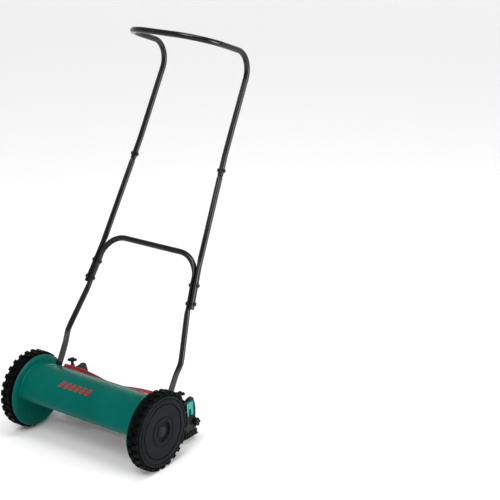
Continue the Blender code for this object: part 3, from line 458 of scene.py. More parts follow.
# Half of the tyre's section from the bead over the shoulder to the middle groove, on a lug
# and between lugs, as (radius, distance from the middle of the tread).
RAISED_TREAD = [
    (0.0968, 0.0125), (0.0974, 0.0138), (0.0985, 0.0152), (0.1040, TREAD_HALF_WIDTH),
    (0.1066, 0.0150), (0.1074, 0.0138), (0.1075, 0.0070), (0.1075, 0.0014), (0.1026, 0.0008),
]
SUNK_TREAD = [
    (0.0968, 0.0125), (0.0974, 0.0134), (0.0982, 0.0138), (0.1002, 0.0136),
    (0.1016, 0.0130), (0.1024, 0.0118), (0.1026, 0.0070), (0.1026, 0.0016), (0.1026, 0.0008),
]


def tread_ring(side, half, station):
    """Ring round the tyre at one station of its section; half is 1 on the outer row."""
    row = OUTER_LUG if half > 0 else INNER_LUG
    ring = []
    for lug in range(LUGS):
        for k, step in enumerate(TREAD_STEPS):
            radius, away = (RAISED_TREAD if k in row else SUNK_TREAD)[station]
            slant = LUG_SLANT * min(1.0, away / TREAD_HALF_WIDTH)
            turn = math.tau * (lug + step - slant) / LUGS
            x = side * (TREAD_MIDDLE_X + half * away)
            ring.append(at(x, radius * math.cos(turn), radius * math.sin(turn)))
    return ring


def tyre(word, side):
    """Rubber tyre with two staggered rows of slanted lugs."""
    stations = range(len(RAISED_TREAD))
    rings = [tread_ring(side, 1, i) for i in stations]
    rings += [tread_ring(side, -1, i) for i in reversed(stations)]
    place(
        f"tread_{word}", skin(rings, loop=True), "tyre_rubber", f"wheel_{word}", [f"tyre_{word}"],
        bevel=0.0004, angle=28,
    )


def wheel(word, side):
    """Wheel disc with a rounded lip, turned grooves and a raised hub ring, and its cap."""
    recess = [
        (0.0083, 0.2115), (0.0083, 0.2360), (0.0163, 0.2360), (0.0170, 0.2356), (0.0176, 0.2348),
        (0.0190, 0.2346), (0.0256, 0.2347), (0.0268, 0.2352), (0.0275, 0.2370),
    ]
    front = [
        (0.0279, 0.0010), (0.0287, 0.0003), (0.0300, 0), (0.0355, 0), (0.0370, 0.0003),
        (0.0380, 0.0010), (0.0387, 0.0024), (0.0394, 0.0030), (0.0406, 0.0030), (0.0414, 0.0022),
        (0.0422, 0.0014), (0.0434, 0.0010), (0.0480, 0.0010), (0.0700, 0.0008), (0.0718, 0.0008),
        (0.0725, 0.0012), (0.0729, 0.0030), (0.0735, 0.0046), (0.0750, 0.0046), (0.0755, 0.0030),
        (0.0760, 0.0009), (0.0768, 0.0003), (0.0790, 0.0002), (0.0858, 0.0004), (0.0868, 0.0010),
        (0.0873, 0.0030), (0.0887, 0.0030), (0.0892, 0.0010), (0.0903, 0.0002), (0.0920, 0),
        (0.0938, 0.0003), (0.0951, 0.0011), (0.0958, 0.0024), (0.0960, 0.0038),
    ]
    rear = [
        (0.0960, 0.2115), (0.0910, 0.2115), (0.0910, 0.2370), (0.0802, 0.2370), (0.0802, 0.2118),
        (0.0771, 0.2118), (0.0771, 0.2352), (0.0150, 0.2325), (0.0150, 0.2115),
    ]
    profile = recess + [(radius, WHEEL_FACE_X - depth) for radius, depth in front] + rear
    mesh = lathe(profile, side, sides=160, loop=True)
    place(f"disc_{word}", mesh, "wheel_plastic", f"wheel_{word}", [f"wheel_{word}"])
    cap = [
        (0, 0.2404), (0.0050, 0.2403), (0.0074, 0.2401), (0.0084, 0.2396), (0.0088, 0.2388),
        (0.0096, 0.2385), (0.0118, 0.2386), (0.0130, 0.2384), (0.0146, 0.2379), (0.0155, 0.2371),
        (0.0155, 0.2363), (0.0132, 0.2363), (0.0132, 0.2381), (0.0082, 0.2381), (0.0082, 0.2391),
        (0, 0.2391),
    ]
    mesh = lathe(cap, side, sides=64)
    place(f"cap_{word}", mesh, "black_plastic", f"wheel_{word}", [f"hub_cap_{word}"])


# ------------ side plates and cover


STOP_RADIUS = 0.004
STOP_UP_HANDLE = 0.012


def side_plate(word, side):
    """Dished plate with a rolled rim, its rear lug, adjuster shelf, stop, rib and key, the lug's raised
    face in a lighter teal that is a painted highlight.
    """
    dish = [
        (0.0083, PLATE_INNER_X), (0.0300, PLATE_INNER_X), (0.0875, PLATE_INNER_X),
        (0.0922, 0.1978), (0.0954, 0.1983), (0.0980, 0.1991), (0.0995, 0.2001), (0.1003, 0.2012),
        (0.1005, 0.2021), (0.1003, 0.2028), (0.0996, 0.2030), (0.0988, 0.2027), (0.0975, 0.2019),
        (0.0955, PLATE_WEB_X), (0.0083, PLATE_WEB_X),
    ]
    plate = lathe(dish, side, sides=192, loop=True)
    lug = [(0.085, -0.05), (0.104, -0.062), (0.128, -0.0625)]
    lug += arc(CLAMP_BOLT, 0.0105, -math.pi / 2, math.radians(50), 12)
    lug += [(0.172, -0.027), (0.172, 0.013), (0.141, 0.013), (0.128, 0.0143), (0.120, 0.0165)]
    lug += [(0.112, 0.0215), (0.105, 0.028), (0.085, 0.03)]
    face = [(0.1717, -0.0267), (0.1717, 0.0090), (0.1708, 0.0115), (0.1683, 0.0127)]
    face += [(0.1485, 0.0127), (0.1463, 0.0115), (0.1455, 0.0090), (0.1455, -0.0267)]
    face += [(0.153, -0.0267), *reversed(arc((0.158, -0.012), 0.005, 0, math.pi, 12))]
    face += [(0.163, -0.0267)]
    rib = arc((0, 0), 0.0773, math.radians(62), math.radians(155), 40)
    rib += arc((0, 0), 0.0743, math.radians(155), math.radians(62), 40)
    back = FOOT_HALF_WIDTH + STOP_RADIUS + GAP
    stop = (
        PIVOT[0] + STOP_UP_HANDLE * math.cos(LEAN) + back * math.sin(LEAN),
        PIVOT[1] + STOP_UP_HANDLE * math.sin(LEAN) - back * math.cos(LEAN),
    )
    inset = 0.0003
    inner = side * (PLATE_INNER_X + inset)
    outer = side * (PLATE_WEB_X - inset)
    joined = side * (PLATE_INNER_X + 2 * inset)
    shelf_x = side * (ADJUSTER[0] - 0.0075)
    additions = [
        prism([lug, circle(CROSS_ROD, 0.00435), circle(CLAMP_BOLT, 0.0033)], inner, outer),
        prism([face], side * (PLATE_WEB_X - 2 * inset), side * LUG_FACE_X),
        box_mesh((shelf_x, 0.122, 0.007), (joined, 0.141, 0.0126)),
        prism([rib], side * 0.191, joined),
        prism([circle(stop, STOP_RADIUS)], side * 0.19355, joined),
        box_mesh((side * 0.1956, 0.1555, -0.045), (joined, 0.1605, -0.005)),
    ]
    plate = combined(plate, additions)
    cutters = [
        lathe(cylinder(0.0093, 0.18, 0.215), side, (REEL_Y, 0), 48),
        lathe(cylinder(0.0053, 0.18, 0.215), side, PIVOT, 32),
        upright_lathe(cylinder(0.0028, 0.0, 0.02), side * ADJUSTER[0], ADJUSTER[1], 32),
    ]
    plate = combined(plate, cutters, "DIFFERENCE")
    piece = place(
        f"plate_{word}", plate, "teal_plastic", "chassis", [f"side_plate_{word}"],
        bevel=0.0006, segments=3, angle=50,
    )
    # The raised lug face takes the lighter teal, a painted highlight.
    piece.data.materials.append(LUG_PAINTED_HIGHLIGHT)
    for polygon in piece.data.polygons:
        if side * polygon.center.x > LUG_FACE_X - 0.0002:
            polygon.material_index = 1


# The cover's section is a large arc, then a tight one that curls in below.
COVER_RADIUS = 0.081
COVER_START = math.radians(57)
COVER_TURN = math.radians(162)
CURL_RADIUS = 0.0225
CURL_END = math.radians(249.4)
ARC_LENGTH = COVER_RADIUS * (COVER_TURN - COVER_START)
COVER_LENGTH = ARC_LENGTH + CURL_RADIUS * (CURL_END - COVER_TURN)
COVER_END_X = 0.1972
COVER_THICKNESS = 0.003

# The sunken panel, from and to a distance along the section.
PANEL_END_X = 0.1565
PANEL_LOW = 0.008
PANEL_HIGH = 0.172
PANEL_DEPTH = 0.0016
PANEL_EDGE = 0.0019
PANEL_CORNER = 0.014


def cover_point(x, along, out):
    """Point on the cover, `along` from its top edge and `out` from its nominal surface."""
    if along <= ARC_LENGTH:
        turn = COVER_START + along / COVER_RADIUS
        radius = COVER_RADIUS + out
        return at(x, radius * math.cos(turn), radius * math.sin(turn))
    turn = COVER_TURN + (along - ARC_LENGTH) / CURL_RADIUS
    offset = COVER_RADIUS - CURL_RADIUS
    y = offset * math.cos(COVER_TURN) + (CURL_RADIUS + out) * math.cos(turn)
    z = offset * math.sin(COVER_TURN) + (CURL_RADIUS + out) * math.sin(turn)
    return at(x, y, z)


def rounded_box(a, b, half_a, half_b, corner):
    """Signed distance to a rectangle with rounded corners, negative inside."""
    da = abs(a) - half_a + corner
    db = abs(b) - half_b + corner
    outside = math.hypot(max(da, 0), max(db, 0))
    return outside + min(max(da, db), 0) - corner


def bead(distance, width):
    """Rounded ridge of height 1 at distance 0."""
    return math.exp(-((distance / width) ** 2))


def cover_relief(x, along):
    """Height of the cover's surface: the sunken panel, the end collars and the edge lips."""
    middle = (PANEL_LOW + PANEL_HIGH) / 2
    half = (PANEL_HIGH - PANEL_LOW) / 2
    distance = rounded_box(x, along - middle, PANEL_END_X, half, PANEL_CORNER)
    to_end = COVER_END_X - abs(x)
    out = -PANEL_DEPTH * (1 - smoothstep(0.5 + distance / PANEL_EDGE))
    out += 0.0016 * (1 - smoothstep(to_end / 0.0055)) ** 2
    out += 0.00045 * bead(to_end - 0.0125, 0.0011)
    lips = bead(along - 0.0022, 0.0014) + bead(along - COVER_LENGTH + 0.0022, 0.0014)
    return out + 0.0004 * lips


def even_steps(stops):
    """Positions from (end, count) pairs, evenly spaced between each two ends."""
    made = [stops[0][0]]
    for (start, _), (end, count) in zip(stops, stops[1:]):
        made += [start + (end - start) * i / count for i in range(1, count + 1)]
    return made


def front_cover():
    """Moulded shell with a sunken middle panel, beaded collars and rolled edges."""
    half = even_steps(
        [(0, 0), (PANEL_END_X - 0.016, 24), (PANEL_END_X - 0.002, 16), (PANEL_END_X + 0.002, 10),
         (COVER_END_X - 0.016, 6), (COVER_END_X - 0.0095, 14), (COVER_END_X, 12)]
    )
    xs = [-x for x in reversed(half[1:])] + half
    steps = even_steps(
        [(0, 0), (PANEL_LOW - 0.0015, 10), (PANEL_LOW + 0.0015, 8), (PANEL_LOW + 0.015, 14),
         (PANEL_HIGH - 0.015, 60), (PANEL_HIGH - 0.0015, 14), (PANEL_HIGH + 0.0015, 8),
         (COVER_LENGTH, 20)]
    )
    rings = []
    for x in xs:
        outer = [cover_point(x, a, cover_relief(x, a)) for a in steps]
        inner = [cover_point(x, a, -COVER_THICKNESS) for a in steps]
        rings.append(outer + inner[::-1])
    shape = bmesh.new()
    shape.from_mesh(skin(rings, caps=False))
    shape.verts.ensure_lookup_table()
    size = len(rings[0])
    for start in (0, (len(rings) - 1) * size):
        for k in range(len(steps) - 1):
            corners = (k, k + 1, size - 2 - k, size - 1 - k)
            shape.faces.new([shape.verts[start + c] for c in corners])
    mesh = finished(shape, "cover")
    place("cover", mesh, "teal_plastic", "chassis", ["front_cover"], bevel=0.0005, angle=60)


# The mark's dashes, across the mower and along the cover's section.
MARK_COUNT = 6
MARK_START_X = -0.0784
MARK_PITCH = 0.0185
MARK_WIDTH = 0.0098
MARK_SLANT = 0.008
MARK_TOP = 0.0800
MARK_BOTTOM = 0.1010


def cover_mark():
    """Plain row of slanted red dashes on the cover, as a generic decoration."""
    rows = 7
    columns = 4
    edge = [(0, c) for c in range(columns)] + [(r, columns) for r in range(rows)]
    edge += [(rows, c) for c in range(columns, 0, -1)] + [(r, 0) for r in range(rows, 0, -1)]
    shape = bmesh.new()
    for number in range(MARK_COUNT):
        layers = []
        for lift in (0.00025, -0.0003):
            layer = []
            for r in range(rows + 1):
                along = MARK_TOP + (MARK_BOTTOM - MARK_TOP) * r / rows
                start = MARK_START_X + MARK_PITCH * number + MARK_SLANT * (1 - r / rows)
                xs = [start + MARK_WIDTH * c / columns for c in range(columns + 1)]
                points = [cover_point(x, along, cover_relief(x, along) + lift) for x in xs]
                layer.append([shape.verts.new(point) for point in points])
            layers.append(layer)
            for above, below in zip(layer, layer[1:]):
                for c in range(columns):
                    shape.faces.new((above[c], above[c + 1], below[c + 1], below[c]))
        front, back = layers
        for (r, c), (r2, c2) in zip(edge, edge[1:] + edge[:1]):
            shape.faces.new((front[r][c], front[r2][c2], back[r2][c2], back[r][c]))
    mesh = finished(shape, "marks")
    place("cover_mark", mesh, "red_paint", "chassis", [], MARK_RED)


# ------------ reel

BLADES = 5
BLADE_TWIST = math.radians(92)
BLADE_PHASE = math.radians(21)
SPIDER_X = (-0.183, -0.062, 0.062, 0.183)
SPIDER_TIP = REEL_RADIUS - 0.0145
SPIDER_THICKNESS = 0.003
ARM_HALF_WIDTH = 0.005


def blade_angle(number, x):
    """Direction of a blade, from the rear, at a position across the mower."""
    return BLADE_PHASE + math.tau * number / BLADES + BLADE_TWIST * x / (2 * REEL_HALF_LENGTH)


def reel_blade(number):
    """Helical strip with a ground outer edge."""
    section = [
        (0.0490, -0.0015), (0.0629, -0.0015), (0.0629, 0.0008), (0.0618, 0.0015), (0.0490, 0.0015),
    ]
    rings = []
    steps = 96
    for step in range(steps + 1):
        x = REEL_HALF_LENGTH * (2 * step / steps - 1)
        turn = blade_angle(number, x)
        out = Vector((0, math.cos(turn), math.sin(turn)))
        across = Vector((0, -math.sin(turn), math.cos(turn)))
        centre = at(x, REEL_Y, 0)
        rings.append([centre + out * r + across * w for r, w in section])
    place(
        f"blade_{number + 1}", skin(rings), "red_paint", "reel", [f"reel_blade_{number + 1}"],
        bevel=0.0003,
    )


def reel_spider(number, x):
    """Pressing with a hub and an arm to each blade."""
    half_tip = math.asin(ARM_HALF_WIDTH / SPIDER_TIP)
    outline = []
    for arm in range(BLADES):
        turn = blade_angle(arm, x)
        outline += [(SPIDER_TIP, turn - half_tip), (SPIDER_TIP, turn), (SPIDER_TIP, turn + half_tip)]
        for i in range(1, 10):
            sway = abs(2 * i / 10 - 1)
            outline.append((0.0135 + 0.0125 * sway**3, turn + math.tau / BLADES * (0.12 + 0.76 * i / 10)))
    points = [(REEL_Y + r * math.cos(t), r * math.sin(t)) for r, t in outline]
    half = SPIDER_THICKNESS / 2
    mesh = prism([points, circle((REEL_Y, 0), 0.0063)], x - half, x + half)
    place(
        f"spider_{number + 1}", mesh, "steel", "reel", [f"reel_spider_{number + 1}"],
        bevel=0.0004, angle=40,
    )


def reel_shaft():
    """Stepped shaft with a notch for the drive key near each end."""
    half = [(0, 0.2226), (0.0054, 0.2226), (0.006, 0.2220), (0.006, 0.1966), (0.008, 0.1966)]
    half += [(0.008, 0.1905), (0.006, 0.1905)]
    profile = half + [(r, -x) for r, x in reversed(half)]
    mesh = lathe(profile, 1, (REEL_Y, 0), 48)
    cutters = [
        box_mesh((side * 0.2172, REEL_Y - 0.01, -0.0023), (side * 0.2208, REEL_Y + 0.01, 0.0023))
        for side in SIDES.values()
    ]
    mesh = combined(mesh, cutters, "DIFFERENCE")
    place("shaft", mesh, "steel", "reel", ["reel_shaft"])


# ------------ fasteners


def hexagon(flats, turn):
    """Radius of a hexagon of that half width across flats, in one direction."""
    return flats / math.cos((turn % (math.pi / 3)) - math.pi / 6)


def fastener(name, nodes, body, start, end, shank, corner, height, material=None):
    """Hexagon bolt with washers and its nut run on, the clamped pieces lying between.

    Start and end are the clamped faces, and corner is the head's largest radius. A station is
    (radius, height, whether it is a hexagon).
    """
    half = (end - start).length / 2
    turn = (end - start).to_track_quat("Z", "Y").to_matrix().to_4x4()
    matrix = Matrix.Translation((start + end) / 2) @ turn
    flats = corner * math.cos(math.pi / 6)
    washer = half + height * 0.22
    stations = [
        (0, half + height, False), (flats * 0.45, half + height, False),
        (flats * 0.93, half + height * 0.97, False), (flats, half + height * 0.82, True),
        (flats, washer, True), (flats, washer, False), (corner, washer, False),
        (corner, half, False), (shank, half, False), (shank, -half, False),
        (corner, -half, False), (corner, -washer, False), (flats, -washer, False),
        (flats, -washer, True), (flats, -half - height * 0.8, True),
        (flats * 0.9, -half - height * 0.88, False),
        (shank * 1.02, -half - height * 0.88, False),
        (shank * 0.86, -half - height * 0.9, False),
        (shank * 0.95, -half - height * 0.95, False), (shank * 0.8, -half - height, False),
        (0, -half - height, False),
    ]
    rings = []
    for radius, z, six_sided in stations:
        if not radius:
            rings.append([matrix @ Vector((0, 0, z))])
            continue
        ring = []
        for t in turns(48):
            r = hexagon(radius, t) if six_sided else radius
            ring.append(matrix @ Vector((r * math.cos(t), r * math.sin(t), z)))
        rings.append(ring)
    place(name, skin(rings), "steel", body, nodes, material)


# ------------ bed knife and roller


KNIFE_BOLT = (0.1, 0.09)
KNIFE_TOP_Z = -0.0614
KNIFE_THICKNESS = 0.003
CARRIER_DROP = 0.0046


def knife_bolt(word, side):
    """Bolt through the bed knife and its carrier."""
    low = at(side * KNIFE_BOLT[0], KNIFE_BOLT[1], KNIFE_TOP_Z - KNIFE_THICKNESS - CARRIER_DROP)
    high = at(side * KNIFE_BOLT[0], KNIFE_BOLT[1], KNIFE_TOP_Z + GAP)
    fastener(
        f"knife_bolt_{word}", [f"bedknife_bolt_{word}"], "bedknife", low, high,
        shank=0.003, corner=0.0055, height=0.0025,
    )


LOBE_TURN = math.radians(35)
THREAD_TURNS = 12
THREAD_PITCH = 0.0016


def adjuster(word, side):
    """Four-lobed knob with a domed middle and a column, and its screw with a collar."""
    x = side * ADJUSTER[0]
    y = ADJUSTER[1]
    dome = [(0.0040, 0.0510), (0.0056, 0.0505), (0.0062, 0.0493)]
    grip = [
        (0.66, 0.0490), (0.80, 0.0489), (0.90, 0.0482), (0.97, 0.0470), (1.0, 0.0455),
        (0.99, 0.0438), (0.93, 0.0424), (0.83, 0.0414), (0.66, 0.0409),
    ]
    column = [(0.0050, 0.0405), (0.0045, 0.0392), (0.0042, 0.0350), (0.0044, 0.0310), (0.0054, 0.0290)]
    rings = [[at(x, y, dome[0][1])]]
    rings += [level_ring(x, y, z, circle((0, 0), radius, 96)) for radius, z in dome]
    rings += [level_ring(x, y, z, lobed(0.0138 * k, 0.0072 * k, 4, 96, LOBE_TURN)) for k, z in grip]
    rings += [level_ring(x, y, z, circle((0, 0), radius, 96)) for radius, z in column]
    rings.append([at(x, y, column[-1][1])])
    body = f"adjuster_{word}"
    place(f"knob_{word}", skin(rings), "black_plastic", body, [f"adjuster_knob_{word}"])
    profile = [(0, 0.0292), (0.0068, 0.0292), (0.0073, 0.0287), (0.0073, 0.0247), (0.0068, 0.0242)]
    profile.append((0.0026, 0.0242))
    for turn in range(THREAD_TURNS):
        z = 0.0236 - turn * THREAD_PITCH
        profile += [(0.0025, z), (0.0021, z - THREAD_PITCH / 2)]
    profile += [(0.0022, 0.0040), (0.0016, 0.00366), (0, 0.00366)]
    place(f"screw_{word}", upright_lathe(profile, x, y), "steel", body, [])


def roller_bracket(word, side):
    """Pointed black bracket with ribs low on its outer face and a lip at the rear."""
    outline = [(0.144, -0.0965), (0.199, -0.0965), (0.199, -0.082), (0.1935, -0.078), (0.1925, -0.046)]
    outline += [(0.193, -0.034), (0.193, -0.017), (0.1918, -0.0095), (0.190, -0.003), (0.1855, 0.011)]
    outline += [(0.1833, 0.0153), (0.1805, 0.0185), (0.177, 0.0200), (0.170, 0.0200), (0.1636, 0.0187)]
    outline += [(0.158, 0.0165), (0.1525, 0.0142), (0.148, 0.0115), (0.1454, 0.0081), (0.144, 0.004)]
    outline += [(0.1425, -0.05)]
    slot = arc((CLAMP_BOLT[0], CLAMP_BOLT[1] + 0.012), 0.0035, 0, math.pi, 12)
    slot += arc((CLAMP_BOLT[0], CLAMP_BOLT[1] - 0.016), 0.0035, math.pi, math.tau, 12)
    base = prism([outline, slot, circle(ROLLER_AXIS, 0.0043)], side * 0.1903, side * 0.1973)
    ribs = []
    for y in (0.147, 0.155, 0.163, 0.181, 0.189):
        ribs.append(box_mesh((side * 0.1965, y - 0.0012, -0.0958), (side * 0.2008, y + 0.0012, -0.0812)))
    ribs.append(box_mesh((side * 0.1965, 0.1462, -0.0960), (side * 0.2008, 0.1986, -0.0936)))
    boss = [(0.0043, 0.1965), (0.0072, 0.1965), (0.0072, 0.2012), (0.0043, 0.2012)]
    ribs.append(lathe(boss, side, ROLLER_AXIS, 48, loop=True))
    mesh = combined(base, ribs)
    groove = box_mesh((side * 0.1952, 0.1551, -0.0625), (side * 0.1993, 0.1609, 0.03))
    mesh = combined(mesh, [groove], "DIFFERENCE")
    place(
        f"bracket_{word}", mesh, "black_plastic", "carriage", [f"roller_bracket_{word}"],
        bevel=0.0007, segments=3, angle=40,
    )


def roller():
    """Moulded roller with shallow bands, hollow at its ends."""
    half = 0.185
    end = [
        (0.0043, half - 0.006), (0.0165, half - 0.006), (0.0172, half), (0.0190, half),
        (0.0198, half - 0.0008), (0.0200, half - 0.002),
    ]
    profile = [(radius, -x) for radius, x in end]
    for middle in (-0.111, -0.037, 0.037, 0.111):
        band = [(0.0200, -0.0026), (0.0192, -0.0016), (0.0192, 0.0016), (0.0200, 0.0026)]
        profile += [(radius, middle + x) for radius, x in band]
    profile += reversed(end)
    mesh = lathe(profile, 1, ROLLER_AXIS, loop=True)
    place("roller_drum", mesh, "black_plastic", "roller", ["roller"])


def clamp_plate(word, side):
    """Black pad between the lug and the clamp knob."""
    outline = [(0.147, -0.0285), (0.172, -0.0285), (0.1865, -0.0425)]
    outline += arc(CLAMP_BOLT, 0.0098, math.radians(40), math.radians(-90), 14)
    outline += [(0.130, -0.0618), (0.1245, -0.056), (0.147, -0.0435)]
    mesh = prism([outline, circle(CLAMP_BOLT, 0.0033)], side * 0.2017, side * 0.2052)
    place(
        f"pad_{word}", mesh, "black_plastic", "chassis", [f"clamp_plate_{word}"],
        bevel=0.0008, segments=3, angle=40,
    )


def clamp_knob(word, side):
    """Five-lobed knob with rounded edges and a boss towards the pad."""
    crown = [(0.0040, 0.2160), (0.0052, 0.2157), (0.0060, 0.2150)]
    grip = [
        (0.70, 0.2150), (0.84, 0.2158), (0.92, 0.2156), (0.98, 0.2146), (1.0, 0.2132),
        (1.0, 0.2110), (0.97, 0.2096), (0.90, 0.2087), (0.76, 0.2085),
    ]
    boss = [(0.0075, 0.2083), (0.0074, 0.2062), (0.0070, 0.2061), (0.0033, 0.2061), (0.0033, 0.2134)]

    def upright_ring(x, outline):
        return [at(side * x, CLAMP_BOLT[0] + a, CLAMP_BOLT[1] + b) for a, b in outline]

    rings = [upright_ring(crown[0][1], [(0, 0)])]
    rings += [upright_ring(x, circle((0, 0), radius, 100)) for radius, x in crown]
    rings += [upright_ring(x, lobed(0.0125 * k, 0.0038 * k, 5, 100)) for k, x in grip]
    rings += [upright_ring(x, circle((0, 0), radius, 100)) for radius, x in boss]
    rings.append(upright_ring(boss[-1][1], [(0, 0)]))
    body = f"clamp_{word}"
    place(f"clamp_{word}_grip", skin(rings), "black_plastic", body, [f"clamp_knob_{word}"])


# ------------ handle


def eased(stations, steps, rounds):
    """Stations subdivided evenly, then relaxed so that their bends become smooth."""
    fine = []
    for first, second in zip(stations, stations[1:]):
        fine += [[a + (b - a) * i / steps for a, b in zip(first, second)] for i in range(steps)]
    fine.append(list(stations[-1]))
    for _ in range(rounds):
        threes = zip(fine, fine[1:], fine[2:])
        middle = [[(a + 2 * b + c) / 4 for a, b, c in zip(*three)] for three in threes]
        fine = [fine[0], *middle, fine[-1]]
    return fine


def tangents_along(points):
    """Direction of a path at each of its points."""
    padded = [points[0], *points, points[-1]]
    return [(after - before).normalized() for before, after in zip(padded, padded[2:])]


def loft(sections, sides=32, pocket=(0.0, 0.0)):
    """Body through (centre, half width, half thickness, squareness), the width square to the plane.

    Pocket is how deep each end is hollow; the wall there is the tube's own.
    """
    normal = Vector((0, -math.sin(LEAN), math.cos(LEAN)))

    def ring_at(centre, tangent, width, thickness, squareness):
        inward = normal.cross(tangent)
        ring = []
        for k in range(sides):
            turn = math.tau * (k + 0.5) / sides
            u = math.copysign(abs(math.cos(turn)) ** squareness, math.cos(turn))
            v = math.copysign(abs(math.sin(turn)) ** squareness, math.sin(turn))
            ring.append(centre + normal * width * u + inward * thickness * v)
        return ring

    tangents = tangents_along([section[0] for section in sections])
    rings = [ring_at(centre, t, *size) for (centre, *size), t in zip(sections, tangents)]
    for end, depth in zip((0, -1), pocket):
        if not depth:
            continue
        centre, width, thickness, squareness = sections[end]
        inwards = tangents[end] * (depth if end == 0 else -depth)
        hollow = [
            ring_at(middle, tangents[end], width - TUBE_WALL, thickness - TUBE_WALL, squareness)
            for middle in (centre, centre + inwards)
        ]
        rings = hollow[::-1] + rings if end == 0 else rings + hollow
    return skin(rings)


def pair_x(s):
    """Where the lower frame's leg and the middle tube meet, at a distance up the handle."""
    slope = (UPPER_BOLT[0] - LOWER_BOLT[0]) / (UPPER_BOLT[1] - LOWER_BOLT[1])
    return LOWER_BOLT[0] + slope * (s - LOWER_BOLT[1])


def upper_leg_x(s):
    """Middle of the middle tube and upper handle, where both are straight."""
    slope = (MID_BOLT[0] - MIDDLE_BEND[0]) / (MID_BOLT[1] - MIDDLE_BEND[1])
    return MID_BOLT[0] + slope * (s - MID_BOLT[1])


def lower_frame():
    """Bent tube with flattened feet, flattened again in the overlap, and a crossbar."""
    stations = []
    for turn in (82, 70, 55, 40, 25, 10, 0):
        t = math.radians(turn)
        s = -FOOT_HALF_WIDTH * math.sin(t)
        stations.append((FOOT_X, s, FOOT_HALF_WIDTH * math.cos(t), FOOT_HALF_THICKNESS, 0.5))
    leg = [
        (FOOT_X, 0.054, FOOT_HALF_WIDTH, FOOT_HALF_THICKNESS, 0.5),
        (FOOT_X + 0.0008, 0.084, 0.0118, 0.0026, 0.6),
        (FOOT_X + 0.0035, 0.102, 0.0098, 0.0058, 0.85),
        (0.201, 0.1175, TUBE_RADIUS, TUBE_RADIUS, 1),
        (0.1978, 0.1375, TUBE_RADIUS, TUBE_RADIUS, 1),
        (pair_x(OVERLAP_START) - OVERLAP_OFFSET + 0.0016, 0.246, TUBE_RADIUS, TUBE_RADIUS, 1),
        (pair_x(OVERLAP_START) - OVERLAP_OFFSET, OVERLAP_START, OVAL_WIDTH, OVAL_THICKNESS, 1),
        (pair_x(0.338) - OVERLAP_OFFSET, 0.338, OVAL_WIDTH, OVAL_THICKNESS, 1),
    ]
    corner = 0.0683
    corner_s = 0.4045 - corner
    corner_x = pair_x(corner_s) - OVERLAP_OFFSET - corner
    bend = arc((corner_x, corner_s), corner, math.radians(7.5), math.pi / 2, 24)
    stations.append(leg[0])
    stations += eased(leg, 8, 6)[1:]
    for i, (x, s) in enumerate(bend):
        blend = smoothstep(i / 9)
        width = OVAL_WIDTH + (TUBE_RADIUS - OVAL_WIDTH) * blend
        thickness = OVAL_THICKNESS + (TUBE_RADIUS - OVAL_THICKNESS) * blend
        if s > stations[-1][1]:
            stations.append((x, s, width, thickness, 1))
    mirrored = [(-x, s, *rest) for x, s, *rest in reversed(stations)]
    sections = [(up_handle(x, s), *rest) for x, s, *rest in stations + mirrored]
    mesh = loft(sections, 36)
    place("frame_tube", mesh, "black_paint", "handle", ["lower_frame"], bevel=0.0004, angle=50)


def middle_tube(word, side):
    """Tube bolted outside the lower frame's leg, its top swaged into the upper handle."""
    listed = [
        (pair_x(OVERLAP_START) + OVERLAP_OFFSET, OVERLAP_START, OVAL_WIDTH, OVAL_THICKNESS, 1),
        (pair_x(0.374) + OVERLAP_OFFSET, 0.374, OVAL_WIDTH, OVAL_THICKNESS, 1),
        (upper_leg_x(MIDDLE_BEND[1]), MIDDLE_BEND[1], TUBE_RADIUS, TUBE_RADIUS, 1),
        (upper_leg_x(0.45), 0.45, TUBE_RADIUS, TUBE_RADIUS, 1),
    ]
    fine = eased(listed, 12, 10)
    top = [(0.6205, TUBE_RADIUS), (0.6235, 0.0076), (0.6262, 0.0064), (0.6275, 0.0058), (0.668, 0.0058)]
    fine += [[upper_leg_x(s), s, radius, radius, 1] for s, radius in top]
    sections = [(up_handle(side * x, s), *rest) for x, s, *rest in fine]
    mesh = loft(sections, 32, pocket=(0.02, 0.0))
    place(
        f"middle_leg_{word}", mesh, "black_paint", "handle", [f"middle_tube_{word}"],
        bevel=0.0003, angle=60,
    )


GRIP_POCKET = 0.042


def upper_handle():
    """Bent tube, its top folded forward, with rounded corners and open lower ends."""
    fold_s = 0.8993
    fold_x = 0.1437
    fold_radius = 0.0611
    fold_angle = math.radians(98.6)
    reach = 0.1622
    corner = 0.0983
    straight = [(upper_leg_x(s), s) for s in (0.628, 0.69)] + [(fold_x, fold_s)]
    points = [up_handle(x, s) for x, s in eased(straight, 20, 12)]
    fold_y = PIVOT[0] + fold_s * math.cos(LEAN) - fold_radius * math.sin(LEAN)
    fold_z = PIVOT[1] + fold_s * math.sin(LEAN) + fold_radius * math.cos(LEAN)
    start = LEAN - math.pi / 2
    end = start + fold_angle
    fold = arc((fold_y, fold_z), fold_radius, start, end, 36)
    points += [at(fold_x, y, z) for y, z in fold[1:]]
    forward = Vector((0, math.cos(LEAN + fold_angle), math.sin(LEAN + fold_angle)))
    corner_at = at(fold_x, *fold[-1]) + forward * (reach - corner)
    for across, ahead in arc((0, 0), corner, 0, math.pi / 2, 36):
        points.append(corner_at + forward * ahead + Vector((across - corner, 0, 0)))
    points += [Vector((-p.x, p.y, p.z)) for p in reversed(points)]
    rings = sweep(points, TUBE_RADIUS, 32)
    bore = 1 - TUBE_WALL / TUBE_RADIUS
    for end, after in ((0, 1), (-1, -2)):
        inwards = (points[after] - points[end]).normalized() * GRIP_POCKET
        mouth = [points[end] + (point - points[end]) * bore for point in rings[end]]
        deep = [point + inwards for point in mouth]
        rings = [deep, mouth, *rings] if end == 0 else [*rings, mouth, deep]
    mesh = skin(rings)
    place("grip_tube", mesh, "black_paint", "handle", ["upper_handle"], bevel=0.0003, angle=60)


